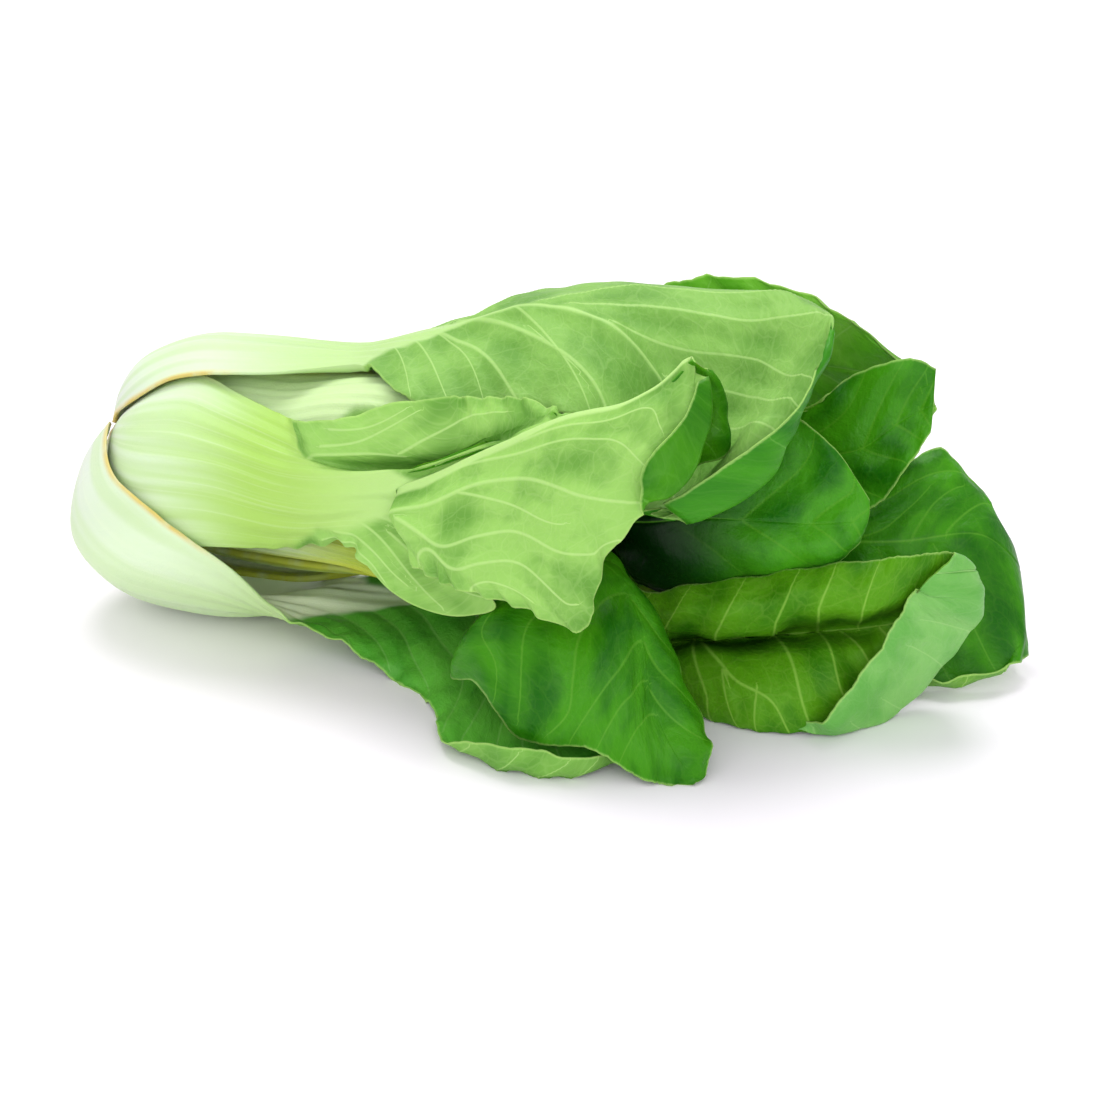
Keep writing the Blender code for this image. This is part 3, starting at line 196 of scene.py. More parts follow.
OUTER_LEAF_RIGHT_BLADE = [
    [(-38, 15, 8), (-38, 18, 8.5), (-38, 20.5, 9.5), (-38, 23, 11.5), (-38, 26, 14.5), (-38, 29, 20)],
    [(-20, 19, 9), (-20, 21.5, 10), (-20, 23.5, 11), (-20, 25.5, 13.5), (-21, 27, 18), (-22, 29.5, 25)],
    [(10, 11, 8), (9, 16, 9.5), (7, 21, 12), (5, 26, 16), (2, 31, 24), (-2, 33.5, 33)],
    [(44, 8, 6.5), (42, 13, 9.5), (38, 19, 15), (34, 25, 22), (30, 33, 33), (26, 38, 44)],
    [(78, 9, 3), (76, 13, 10), (72, 18, 19), (66, 23, 29), (61, 31, 38), (57, 38, 46)],
    [(105, 8.5, 4.5), (103.5, 12.5, 1), (99.5, 16.5, 15), (91, 19, 35), (92, 25, 40), (92.5, 32, 46)],
    [(113, 9.5, 5), (112.5, 14, 1), (107, 19, 16), (100.5, 22, 35.5), (100.5, 30, 43), (99, 41, 53)],
    [(120.5, 13.5, 6), (121, 18, 2), (116, 23, 16), (109, 26, 37), (108, 34, 44), (105.5, 42, 51)],
    [(127.5, 21.5, 6.5), (128, 24, 7), (125, 27.5, 15), (117, 31, 35.5), (115.5, 37, 39.5), (112, 42, 42.5)],
    [(129.5, 28, 6), (127, 29.5, 13.5), (126, 31, 20), (124, 34, 26.5), (122, 37, 30), (119, 41, 33)],
    [(125, 36, 4), (123.5, 38, 10), (122, 42, 14), (120, 45, 19), (118, 47, 22), (115.5, 49, 25)],
]
MIDDLE_LEAF_DRAPED_BLADE = [
    [(-28, -21, 37), (-28, -23, 34.5), (-28, -24, 32), (-28, -24, 29.5), (-28, -23, 27.5), (-28, -21, 26)],
    [(-14, -22, 38), (-14, -24.5, 35), (-13, -25.5, 31.5), (-12, -25, 28), (-12, -23.5, 25.5),
     (-12, -21, 23)],
    [(2, -30, 36), (2, -31, 35), (3, -29, 33), (5, -25, 31), (8, -19, 29), (10, -14, 27)],
    [(12, -40, 27), (13, -39, 30), (15, -35, 33.5), (18, -25, 37), (23, -16, 35), (26, -10, 31)],
    [(2.5, -40, 10), (11, -43.5, 27), (20, -37, 37), (27, -25, 39.5), (30, -17, 38), (31, -11, 35.5)],
    [(14, -50, 17.5), (20, -48, 27.5), (27.5, -39, 36.5), (33, -25, 40.5), (34.5, -18, 39),
     (34.5, -13, 35.5)],
    [(24, -56.5, 8.5), (31, -53, 23), (35, -43, 33), (38, -27, 39.5), (39, -22, 38), (39, -18, 35)],
    [(33.5, -58.5, 8), (39.5, -55, 19), (44, -47, 28.5), (45, -32, 36), (46.5, -27, 34), (47, -22, 29)],
    [(45.5, -57.5, 8.5), (47.5, -54.5, 15), (50, -50, 23.5), (50.5, -38, 29.5), (53, -34, 28.5),
     (54, -28, 22.5)],
    [(54, -56, 3), (54.5, -54.5, 8.5), (54, -51, 14.5), (54, -44, 20.5), (58, -40, 20.5), (60.5, -34, 15.5)],
    [(61, -54.5, 0.5), (60.5, -53, 3), (60, -51, 6.5), (59.5, -48, 10.5), (64.5, -45, 11.5), (68, -41, 7.5)],
    [(66, -53, 0), (66.5, -52.5, 0.5), (66.5, -52.5, 1.5), (67, -51.5, 2.5), (69, -49, 3.5), (70.5, -46, 5)],
    [(68.5, -52.5, 0.5), (69, -52.5, 1), (69, -52, 1), (69.5, -51.5, 1), (70, -50.5, 1), (70.5, -49.5, 1.5)],
]
MIDDLE_LEAF_TOP_BLADE = [
    [(-38, 13, 66.5), (-38, 4, 68), (-38, -8, 69), (-38, -15, 67), (-38, -20, 62.5)],
    [(-24, 10, 70), (-24, 0, 71.5), (-24, -10, 71.5), (-24, -16, 68.5), (-24, -20, 65)],
    [(-3, 10, 77), (-4, 0, 77), (-5, -10, 74), (-5, -17, 69), (-5, -20, 64)],
    [(20, 14, 82), (21, 2, 81), (22, -8, 76), (23, -14, 70), (23, -16, 64)],
    [(44, 12, 84), (44, 3, 79), (43, -5, 72), (42, -10, 66), (41, -12, 61)],
    [(60, 4, 76), (59, 1, 73), (57, -3, 68), (55, -6, 64), (54, -8, 60)],
]
MIDDLE_LEAF_BACK_BLADE = [
    [(-20, 20, 18), (-20, 22.5, 21), (-20, 24, 25), (-20, 24, 29), (-20, 22.5, 33)],
    [(14, 22, 23), (12, 26, 28), (10, 28, 34), (8, 28, 41), (6, 26, 48)],
    [(46, 24, 35), (44, 26, 40), (40, 28, 46), (35, 28, 54), (30, 27, 62)],
    [(76, 20, 40), (72, 23, 46), (66, 26, 53), (62, 28, 61), (71, 27, 63.5)],
    [(91.5, 18, 45), (88.5, 22, 50), (86.5, 24, 57), (82.5, 27, 64.5), (80.5, 29, 73)],
    [(98, 22, 54), (96, 25, 58), (93.5, 27, 63.5), (91, 29, 70), (89.5, 31, 77.5)],
    [(100.5, 25, 59.5), (100, 27, 62.5), (99.5, 29, 67.5), (98, 31, 73), (98, 33, 79.5)],
    [(102.5, 27, 63), (102.5, 28, 65.5), (102.5, 29, 69), (102, 31, 73), (101.5, 33, 76.5)],
]
MIDDLE_LEAF_FLOOR_BLADE = [
    [(-28, -9, 18.5), (-28, -5, 17), (-28, -1, 16.5), (-28, 3, 17), (-28, 7, 18.5)],
    [(-5, -12, 15.5), (-6, -6, 14.5), (-6, 0, 14.5), (-6, 6, 15), (-5, 12, 16.5)],
    [(20, -2, 14), (20, 1, 14), (20, 5, 15), (20, 9, 16.5), (19, 14, 19)],
    [(36, 8, 15), (36, 9, 16), (36, 11, 18), (35, 13, 20), (34, 15, 23)],
    [(44, 11, 18), (44, 12, 19), (44, 13, 20), (43, 14, 21.5), (42, 15, 23)],
]
INNER_LEAF_FRONT_BLADE = [
    [(-25, -11, 44), (-25, -12, 42), (-25, -12.5, 40), (-25, -12.5, 37), (-25, -12, 34), (-25, -11, 32),
     (-25, -10, 30), (-25, -9, 29)],
    [(-3, -7, 44), (-3, -9, 42), (-2, -10, 39), (-1, -10, 36), (0, -10, 32), (1, -9, 29), (2, -8, 26),
     (2, -7, 25)],
    [(22, -4, 41), (22, -7, 38), (23, -8, 34), (24, -7, 30), (25, -9, 25), (26, -11, 20), (27, -11, 15),
     (27, -10, 13)],
    [(32, -8, 33), (33, -11, 30), (34, -10.5, 25), (32.5, -3, 17), (35, -11, 17.5), (38, -15, 12),
     (40, -14, 6), (40, -12, 4.5)],
    [(41, -10, 26.5), (43, -14, 23), (43.5, -13, 18), (40.5, 0, 8.5), (45.5, -12, 11), (50.5, -18, 5),
     (53, -18, 0.5), (53, -14.5, 2)],
    [(53.5, -10, 30.5), (56, -16, 26.5), (56.5, -14.5, 20.5), (54, 3, 9.5), (60, -12, 13.5), (66.5, -21, 8),
     (70, -22, 0.5), (70, -17, 2)],
    [(68.5, -9, 34.5), (71, -16, 30.5), (71, -15, 22.5), (68, 4, 12.5), (74.5, -12, 16), (80, -20, 10),
     (83, -21, 0.5), (83, -16, 2.5)],
    [(83, -8, 39), (85, -14, 36), (85.5, -14, 31.5), (82.5, 4, 16), (87, -9, 18), (90.5, -16, 11.5),
     (95, -15.5, 1.5), (92, -24, 7)],
    [(94.5, -6, 41.5), (96.5, -12, 37.5), (97, -12, 31.5), (93.5, 4, 19), (96.5, -4, 18), (99, -7, 10),
     (103, -4, 1), (95.5, -18, 12.5)],
    [(105, -5, 44), (106, -9, 40), (106, -9, 34), (104.5, 1, 24.5), (106, 1, 19.5), (107.5, 3, 12.5),
     (110, 5, 8.5), (101, -13, 21)],
    [(114.5, -4, 46), (115, -4, 43.5), (115.5, -3, 39.5), (116.5, 0, 34.5), (117.5, 2, 29.5),
     (118, 4, 25.5), (120.5, 5, 25.5), (106, -10, 32)],
    [(116.5, -3, 46), (118, -2, 45), (119.5, -1, 43), (121, 0, 40.5), (122, 1, 38), (123, 2, 35.5),
     (122.5, 0, 34.5), (109, -10, 38)],
    [(116, -6, 46), (115.5, -7.5, 45.5), (114.5, -8.5, 44.5), (113.5, -9, 43), (112.5, -10, 42),
     (111.5, -10, 40.5), (110.5, -10.5, 39), (110, -10.5, 38)],
]
INNER_LEAF_HOLLOW_BLADE = [
    [(-20, 4, 22), (-20, 7, 23), (-20, 9.5, 25), (-20, 11, 28), (-20, 12, 31)],
    [(12, 0, 26), (10, 3, 27), (8, 6, 30), (6, 9, 35), (4, 10, 41)],
    [(30, -2, 33), (27, -1, 36), (24, 1, 41), (22, 3, 48), (20, 5, 56)],
    [(44, -8, 26), (43, -12, 36), (41.5, -12, 46), (42, -6, 54.5), (41, 0, 62.5)],
    [(58.5, -7, 29), (58, -11, 39.5), (55.5, -9, 48), (54.5, -2, 57.5), (53, 6, 66)],
    [(72.5, -5, 33), (72, -9, 42), (69.5, -6, 48), (68.5, 1, 59.5), (67.5, 8, 69.5)],
    [(85.5, -4, 37.5), (85.5, -7, 44), (83.5, -4, 48.5), (83, 1, 58), (77.5, 5, 70)],
    [(91.5, -4, 42.5), (92, -5, 45.5), (91.5, -3, 50), (92, 0, 54.5), (87.5, 3, 63)],
    [(93.5, -2.5, 45), (94, -2.5, 47), (95, -2, 50.5), (95, -1, 52.5), (94.5, 0.5, 54.5)],
]
INNER_LEAF_UPPER_BLADE = [
    [(-20, 14, 42), (-20, 12, 45), (-20, 9, 48), (-20, 5, 50), (-20, 0, 51)],
    [(8, 19, 46), (7, 18, 52), (5, 15, 58), (4, 10, 62), (3, 4, 64)],
    [(35, 19, 48), (34, 18.5, 56), (32, 17, 63), (31, 13, 70), (30, 9, 74)],
    [(60, 19, 52), (59, 18, 59), (57, 17, 66), (56, 14, 73), (55, 11, 78)],
    [(74, 17, 58), (74, 17, 62), (73, 16, 66), (72, 14, 71), (71, 12, 75)],
]
HEART_LEAF_BACK_BLADE = [
    [(-18, 4, 33), (-18, 6, 37), (-18, 7, 41), (-18, 6, 45), (-18, 4, 49)],
    [(0, 3.5, 36), (0, 5, 40), (0, 5.5, 45), (0, 5, 50), (0, 3.5, 54)],
    [(12, 2, 43), (12, 3, 45), (12, 3.5, 48), (12, 3, 51), (12, 2, 53)],
]
HEART_LEAF_FRONT_BLADE = [[(x, -y, z) for x, y, z in reversed(row)] for row in HEART_LEAF_BACK_BLADE]

# For each leaf: the angle at which its stalk stands round the bulb, in degrees from the front
# up over the top; its reach to the left and to the right; its outlines; its columns left and
# right of the rib; its blade; how thick it is beside an outer leaf; its vertices along and
# across; and its look. "pale" says at which row the pale of its rib has narrowed to how many
# millimetres, and how much of that pale is left at the tip. "tuck" draws the stalk in by so many
# millimetres where it is widest, "past_neck" is how far past the neck its thick rib reaches, in
# lengths of the leaf, "pressed" lays the leaf on the floor, and "ruffle" is its margin's own pitch
# and height.
LEAVES = {
    "outer_leaf_top": dict(
        angle=112, left_reach=(40, 42, 43, 43, 42, 41, 39, 34),
        right_reach=(42, 44, 46, 45, 43, 42, 41, 39),
        outline=TOP, left_outline=TOP_SIDE, right_outline=TOP_SIDE,
        columns=(4, 2), blade=OUTER_LEAF_TOP_BLADE, girth=1.0, grid=(240, 116),
        look="outer", pale=(2.2, 0.9, 0.45)),
    "outer_leaf_front": dict(
        angle=30, left_reach=(45, 48, 48, 47, 46, 45, 37), right_reach=(42, 42, 42, 42, 40, 37, 35),
        outline=FRONT, left_outline=FRONT_LEFT, right_outline=FRONT_RIGHT,
        columns=(4, 4), blade=OUTER_LEAF_FRONT_BLADE, girth=1.0, past_neck=0.07, grid=(260, 136),
        look="front", ruffle=(6.5, 0.9), pale=(9.0, 1.4, 0.7)),
    "outer_leaf_under": dict(
        angle=303, left_reach=(120, 113, 84, 74, 70, 63, 55, 44),
        right_reach=(40, 44, 46, 48, 52, 58, 60, 58),
        outline=UNDER, left_outline=UNDER_LEFT, right_outline=UNDER_RIGHT,
        columns=(3, 3), blade=OUTER_LEAF_UNDER_BLADE, girth=1.0, pressed=True, grid=(200, 110),
        look="under", pale=(2.0, 1.0, 0.4)),
    "outer_leaf_back": dict(
        angle=178, left_reach=28, right_reach=(24, 24, 26, 28, 30, 32, 33, 33),
        outline=BACK, left_outline=BACK, right_outline=BACK_RIGHT,
        columns=(2, 2), blade=OUTER_LEAF_BACK_BLADE, girth=0.9, grid=(170, 72),
        # Its look is painted light: greens made lighter for the light that shines through this thin leaf.
        look="painted_lit", pale=(2.0, 0.5, 0.4)),
    "outer_leaf_right": dict(
        angle=236, left_reach=(31, 31, 31, 31, 31, 31, 30, 28), right_reach=33,
        outline=RIGHT, tuck=5,
        columns=(3, 2), blade=OUTER_LEAF_RIGHT_BLADE, girth=0.9, grid=(190, 96),
        look="middle", pale=(2.5, 0.6, 0.4)),
    "middle_leaf_draped": dict(
        angle=345, left_reach=24, right_reach=24, outline=DEEP, tuck=2,
        columns=(3, 2), blade=MIDDLE_LEAF_DRAPED_BLADE, girth=0.65, grid=(210, 100),
        look="middle", pale=(2.5, 0.45, 0.12)),
    "middle_leaf_top": dict(
        angle=78, left_reach=(28, 28, 30, 32, 34, 36, 38), right_reach=28,
        outline=MIDDLE_TOP, left_outline=MIDDLE_TOP_LEFT, tuck=1,
        columns=(2, 2), blade=MIDDLE_LEAF_TOP_BLADE, girth=0.65, grid=(140, 60),
        look="sheltered"),
    "middle_leaf_back": dict(
        angle=207, left_reach=25, right_reach=25, outline=MIDDLE, tuck=2,
        columns=(2, 2), blade=MIDDLE_LEAF_BACK_BLADE, girth=0.65, grid=(170, 66),
        look="dark", pale=(2.0, 0.5, 0.3)),
    "middle_leaf_floor": dict(
        angle=272, left_reach=25, right_reach=25, outline=DEEP, tuck=2,
        columns=(2, 2), blade=MIDDLE_LEAF_FLOOR_BLADE, girth=0.65, grid=(110, 44),
        look="middle"),
    "inner_leaf_front": dict(
        angle=15, left_reach=26, right_reach=26, outline=INNER, tuck=1,
        columns=(3, 4), blade=INNER_LEAF_FRONT_BLADE, girth=0.5, grid=(220, 124),
        look="inner", pale=(2.5, 0.8, 0.5)),
    "inner_leaf_hollow": dict(
        angle=228, left_reach=27, right_reach=27, outline=INNER, tuck=1,
        columns=(2, 2), blade=INNER_LEAF_HOLLOW_BLADE, girth=0.5, grid=(170, 72),
        look="hollow", pale=(2.0, 0.5, 0.25)),
    "inner_leaf_upper": dict(
        angle=118, left_reach=27, right_reach=27, outline=INNER, tuck=1,
        columns=(2, 2), blade=INNER_LEAF_UPPER_BLADE, girth=0.5, grid=(110, 44),
        look="inner"),
    "heart_leaf_back": dict(
        angle=165, left_reach=60, right_reach=60, outline=HEART,
        columns=(2, 2), blade=HEART_LEAF_BACK_BLADE, girth=0.3, grid=(80, 32),
        look="heart"),
    "heart_leaf_front": dict(
        angle=345, left_reach=60, right_reach=60, outline=HEART,
        columns=(2, 2), blade=HEART_LEAF_FRONT_BLADE, girth=0.3, grid=(80, 32),
        look="heart"),
}


def straight(places, *veins):
    """Side veins that share their places across, each given as its half-width and its rows."""
    return tuple((half_width, *zip(rows, places)) for half_width, *rows in veins)


# Side veins that are seen well, each as its half-width and its course, in (row of the blade,
# place across it). A leaf that isn't here gets even ones.
VEINS = {
    "outer_leaf_top": (
        (0.9, (1.2, -0.05), (1.7, 0.08), (2.5, 0.4), (3.3, 0.97)),
        (0.9, (2.0, -0.05), (2.8, 0.18), (3.6, 0.45), (4.5, 0.97)),
        (0.6, (3.6, -0.04), (4.6, -0.18), (5.5, -0.3), (6.6, -0.97)),
        (0.5, (4.2, -0.02), (4.7, -0.07), (5.5, -0.16), (6.6, -0.35), (7.6, -0.97)),
        (0.5, (5.2, -0.03), (5.8, -0.1), (6.7, -0.26), (8.0, -0.97)),
        (0.5, (5.7, -0.02), (6.8, -0.17), (8.8, -0.97)), (0.4, (0.8, 0.05), (1.6, 0.37), (2.5, 0.97)),
        (0.35, (1.7, 0.1), (2.3, 0.4), (2.9, 0.97)), (0.35, (0.3, 0.1), (1.1, 0.5), (2.0, 0.97)),
        (0.45, (2.9, 0.02), (3.5, 0.4), (4.1, 0.97)),
        (0.5, (3.2, -0.05), (4.3, -0.27), (5.2, -0.45), (6.2, -0.97)),
        (0.5, (1.6, -0.04), (2.6, -0.3), (3.6, -0.6), (4.4, -0.97)),
        (0.5, (0.4, -0.04), (1.4, -0.35), (2.6, -0.97)),
    ),
    "outer_leaf_front": (
        (0.9, (0.6, 0.06), (2.0, 0.3), (4.5, 0.4), (7.0, 0.38), (8.2, 0.27), (10.0, 0.36), (13.0, 0.97)),
        (0.5, (8.0, 0.3), (8.9, 0.37), (10.2, 0.5)),
        (0.65, (6.4, 0.5), (7.2, 0.66), (8.5, 0.53), (9.2, 0.5), (10.2, 0.6), (11.4, 0.97)),
        (0.65, (6.6, 0.9), (7.2, 0.74), (7.8, 0.76), (8.5, 0.67), (9.3, 0.63), (10.1, 0.8)),
        (0.4, (8.1, 0.97), (8.7, 0.77), (9.3, 0.83)), (0.5, (0.8, 0.6), (1.8, 0.7), (3.2, 0.86)),
        (0.45, (0.6, 0.75), (1.5, 0.85), (2.7, 0.97)), (0.5, (1.6, 0.45), (3.0, 0.68), (3.8, 0.95)),
        (0.45, (2.8, 0.5), (4.0, 0.7), (5.0, 0.9)),
        (0.8, (0.6, -0.5), (1.2, -0.7), (2.2, -0.75), (3.7, -0.73)),
        (0.45, (1.3, -0.8), (2.4, -0.85), (3.4, -0.9), (4.6, -0.96)),
        (0.4, (1.6, -0.94), (2.8, -0.92), (4.0, -0.97)),
        (0.5, (3.6, -0.76), (5.0, -0.84), (6.5, -0.92), (7.7, -0.9)),
        (0.5, (7.2, 0.04), (8.1, 0.08), (9.2, 0.13), (11.2, 0.27), (12.6, 0.6)),
        (0.4, (9.2, 0.05), (10.4, 0.1), (12.2, 0.18), (13.4, 0.5)),
        (0.45, (9.0, -0.05), (10.6, -0.3), (12.2, -0.6), (13.0, -0.95)),
        (0.45, (10.5, -0.05), (12.0, -0.3), (13.4, -0.7)),
    ),
    "outer_leaf_under": (
        (0.6, (-1.2, -0.45), (-0.2, -0.62), (0.8, -0.8), (1.5, -0.97)),
        (0.6, (-0.4, -0.15), (0.6, -0.35), (1.5, -0.62), (2.6, -0.95)),
        (0.6, (0.4, -0.04), (1.3, -0.26), (2.4, -0.58), (3.7, -0.95)),
        (0.6, (1.4, -0.04), (2.6, -0.32), (3.6, -0.6), (4.7, -0.95)),
        *straight((-0.04, -0.4, -0.95), (0.5, 3.0, 4.2, 5.4), (0.45, 4.2, 5.2, 6.2)),
        *straight((-0.04, -0.5, -0.95), (0.45, 5.2, 6.1, 6.9), (0.45, 6.0, 6.7, 7.4)),
        *straight((0.04, 0.5, 0.95), (0.5, 1.0, 2.6, 3.6), (0.5, 2.6, 4.0, 5.0), (0.5, 4.2, 5.4, 6.6)),
    ),
    "outer_leaf_right": (
        (0.55, (3.6, 0.05), (4.6, 0.5), (5.3, 0.72), (6.1, 0.74), (6.9, 0.8), (7.6, 0.95)),
        (0.45, (4.8, 0.03), (5.2, 0.2), (5.6, 0.4), (6.2, 0.62)),
        (0.5, (6.0, 0.03), (6.2, 0.25), (6.4, 0.42), (7.2, 0.65)),
        (0.45, (6.9, 0.03), (7.2, 0.2), (7.7, 0.5), (8.4, 0.9)),
        *straight((0.05, 0.5, 0.95), (0.45, 2.2, 3.0, 3.8), (0.45, 0.8, 1.8, 2.6)),
        *straight((-0.05, -0.5, -0.95), (0.5, 1.0, 2.4, 3.4), (0.5, 2.6, 3.8, 4.6), (0.5, 4.0, 4.8, 5.6),
                  (0.5, 5.2, 6.0, 6.7), (0.4, 6.6, 7.2, 7.8)),
    ),
    "middle_leaf_draped": (
        (0.6, (6.9, -0.03), (6.4, -0.23), (6.4, -0.4), (6.7, -0.55), (7.1, -0.75), (7.0, -0.92)),
        (0.6, (5.4, -0.03), (5.3, -0.3), (5.2, -0.52), (5.6, -0.7), (6.1, -0.92)),
        (0.5, (4.0, -0.03), (4.1, -0.37), (4.2, -0.63), (5.2, -0.82), (5.5, -0.95)),
        (0.45, (8.1, -0.03), (7.6, -0.5), (7.5, -0.95)),
        (0.45, (8.9, -0.05), (8.3, -0.45), (8.1, -0.95)),
        (0.4, (9.6, -0.05), (8.9, -0.55), (8.7, -0.95)), (0.5, (7.2, 0.03), (8.1, 0.5), (8.6, 0.95)),
        (0.5, (8.2, 0.03), (9.0, 0.4), (9.6, 0.95)), (0.4, (9.2, 0.03), (9.8, 0.25), (10.4, 0.9)),
        (0.5, (5.0, 0.03), (6.2, 0.5), (7.2, 0.95)), (0.5, (3.0, 0.03), (4.2, 0.6), (5.2, 0.95)),
    ),
    "inner_leaf_front": (
        *straight((-0.04, -0.5, -0.95), (0.5, 6.2, 6.5, 6.8), (0.5, 7.0, 7.2, 7.5), (0.4, 7.9, 8.1, 8.4),
                  (0.5, 5.2, 5.5, 5.9), (0.4, 4.2, 4.5, 5.0), (0.4, 3.0, 3.5, 4.2)),
        (0.6, (4.8, 0.04), (4.7, 0.3), (4.7, 0.48), (4.6, 0.7), (4.8, 0.95)),
        (0.65, (4.9, 0.12), (5.1, 0.3), (5.3, 0.42), (5.7, 0.5), (6.0, 0.7)),
        (0.6, (6.2, 0.04), (6.4, 0.35), (6.4, 0.6), (6.5, 0.92)),
        (0.5, (7.0, 0.04), (7.2, 0.3), (7.3, 0.6), (7.4, 0.9)),
        (0.5, (7.5, 0.04), (8.0, 0.35), (8.3, 0.9)), (0.4, (5.1, 0.36), (5.0, 0.53), (5.1, 0.8)),
        (0.4, (5.6, 0.46), (5.4, 0.66), (5.4, 0.85)),
        *straight((0.05, 0.5, 0.95), (0.5, 8.4, 8.9, 9.4), (0.5, 9.2, 9.6, 9.9)),
        (0.4, (2.6, 0.04), (3.2, 0.4), (3.9, 0.9)),
    ),
}

# Linear colours of each look: the blade's two greens and its veins, on the inner (upper) side
# and on the outer (lower) side. Some have their own stalk at the bulb and at the neck, their own
# edge of the stalk (how wide, its colour and up to how many lengths of the stalk; to the left
# only where a side of -1 is given, a band of painted shade) and a part of the inner side with
# painted shade (between two such lengths).
LOOKS = {
    "outer": dict(inner=((0.014, 0.150, 0.004), (0.050, 0.270, 0.008), (0.15, 0.42, 0.06)),
                  outer=((0.125, 0.310, 0.045), (0.225, 0.455, 0.090), (0.40, 0.64, 0.20))),
    "front": dict(inner=((0.010, 0.120, 0.001), (0.055, 0.260, 0.003), (0.15, 0.42, 0.05)),
                  outer=((0.135, 0.330, 0.048), (0.290, 0.550, 0.115), (0.44, 0.68, 0.22)),
                  neck=(0.37, 0.60, 0.12)),
    "under": dict(inner=((0.055, 0.300, 0.020), (0.110, 0.440, 0.040), (0.24, 0.54, 0.13)),
                  outer=((0.100, 0.290, 0.035), (0.170, 0.400, 0.060), (0.36, 0.60, 0.17))),
    "sheltered": dict(inner=((0.014, 0.150, 0.004), (0.050, 0.270, 0.008), (0.15, 0.42, 0.06)),
                      outer=((0.150, 0.345, 0.055), (0.235, 0.465, 0.095), (0.44, 0.68, 0.22)),
                      # Painted shade: a wide yellow-olive edge on the left of this stalk, its yellowish tint
                      # darkened where it lies in the crevice under the top leaf's edge.
                      edge=(17.0, (0.70, 0.70, 0.10), 2.2), painted_shade_side=-1,
                      bulb=(0.60, 0.76, 0.44), neck=(0.56, 0.74, 0.36)),
    # Painted light: the back leaf's greens, far lighter than the other outer leaves', stand in for the light
    # that shines through it.
    "painted_lit": dict(inner=((0.110, 0.420, 0.015), (0.190, 0.520, 0.045), (0.32, 0.64, 0.14)),
                   outer=((0.140, 0.350, 0.050), (0.200, 0.430, 0.080), (0.40, 0.62, 0.18))),
    "middle": dict(inner=((0.010, 0.120, 0.001), (0.048, 0.260, 0.003), (0.13, 0.38, 0.03)),
                   outer=((0.100, 0.300, 0.030), (0.170, 0.400, 0.050), (0.36, 0.60, 0.15)),
                   neck=(0.34, 0.46, 0.05), edge=(6.0, (0.50, 0.56, 0.05), 3.0)),
    "inner": dict(inner=((0.120, 0.390, 0.065), (0.210, 0.500, 0.120), (0.36, 0.62, 0.22)),
                  outer=((0.030, 0.170, 0.001), (0.085, 0.290, 0.004), (0.24, 0.48, 0.06)),
                  neck=(0.50, 0.62, 0.12), edge=(4.0, (0.62, 0.66, 0.10), 2.0)),
    "dark": dict(inner=((0.008, 0.120, 0.001), (0.050, 0.275, 0.004), (0.11, 0.36, 0.02)),
                 outer=((0.070, 0.260, 0.015), (0.130, 0.360, 0.030), (0.30, 0.55, 0.10))),
    # The hollow leaf: its inner side darkens to near black towards the neck, painted shade deep in its cup.
    "hollow": dict(inner=((0.010, 0.130, 0.002), (0.055, 0.290, 0.007), (0.11, 0.36, 0.02)),
                   outer=((0.070, 0.260, 0.015), (0.130, 0.360, 0.030), (0.30, 0.55, 0.10)),
                   painted_shade=(2.42, 2.00)),
    "heart": dict(inner=((0.160, 0.330, 0.020), (0.250, 0.430, 0.040), (0.45, 0.60, 0.15)),
                  outer=((0.200, 0.380, 0.040), (0.280, 0.460, 0.060), (0.50, 0.64, 0.20)),
                  neck=(0.60, 0.68, 0.20), edge=(4.0, (0.68, 0.70, 0.20), 2.0)),
}
STALK_FOOT = (0.66, 0.70, 0.64)
STALK_BULB = (0.64, 0.79, 0.54)
STALK_NECK = (0.47, 0.67, 0.28)
# The inner side of a stalk: pale of its own, and made lighter still as painted light for the light that
# shines through the stalk.
STALK_INSIDE_PAINTED_LIGHT = (0.84, 0.95, 0.68)
STALK_STREAK = (0.76, 0.86, 0.62)
STALK_EDGE = (2.0, (0.66, 0.52, 0.14), 0.8)
MARGIN_RIM = (0.40, 0.64, 0.17)
# Painted shade: the near-black green that the hollow leaf's inner side darkens to towards its neck.
PAINTED_SHADE_GREEN = (0.001, 0.018, 0.001)

# The stem's and the floor's colours and patterns. Scales are cells a metre, and the relief is its
# height in metres and its strength.
STEM_FLESH = (0.62, 0.66, 0.38)
STEM_BROWNED = (0.48, 0.40, 0.20)
STEM_CLOUD_SCALE = 160.0
STEM_CLOUD_EDGES = (0.35, 0.65)
STEM_DOTS = (0.30, 0.22, 0.09)
STEM_DOT_SCALE = 900.0
STEM_DOT_EDGES = (0.55, 0.70, 0.0, 0.6)
STEM_ROUGHNESS = 0.62
STEM_RELIEF = (0.0004, 0.8)
FLOOR_SHADES = ((0.935, 0.885, 0.955), (0.965, 0.915, 0.985))
FLOOR_SCALE = 3.0
FLOOR_ROUGHNESS = 0.85

# Patterns of the leaves. Scales are cells a millimetre. "Edges" give the value at which a
# pattern starts and the one at which it is full, and some then its least and its greatest share.
# Distances from veins are in millimetres, or half-widths of the vein for its own edges. Places
# along the stalk are in lengths of the stalk, so that its neck is at 1.
GRAIN_SCALE = 0.9
PATCH_SCALE = 0.06
PATCH_EDGES = (0.35, 0.68)
WANDER_SCALE = 0.16
WANDER_REACH = 4.0
NETS = ((0.12, 0.040, 0.01, 0.22), (0.45, 0.11, 0.02, 0.12))   # scale, wall's edges, share
SIGNED_WITHIN = 1.6           # this near a vein, its signed distance is read, which crosses 0 cleanly
VEIN_EDGES = (1.25, 0.15)
HALO_EDGES = (5.0, 0.4)
HALO_SHARE = 0.45
VEINS_INSIDE = 0.42
VEINS_OUTSIDE = 0.72
RIM_EDGES = (0.9, 0.35)
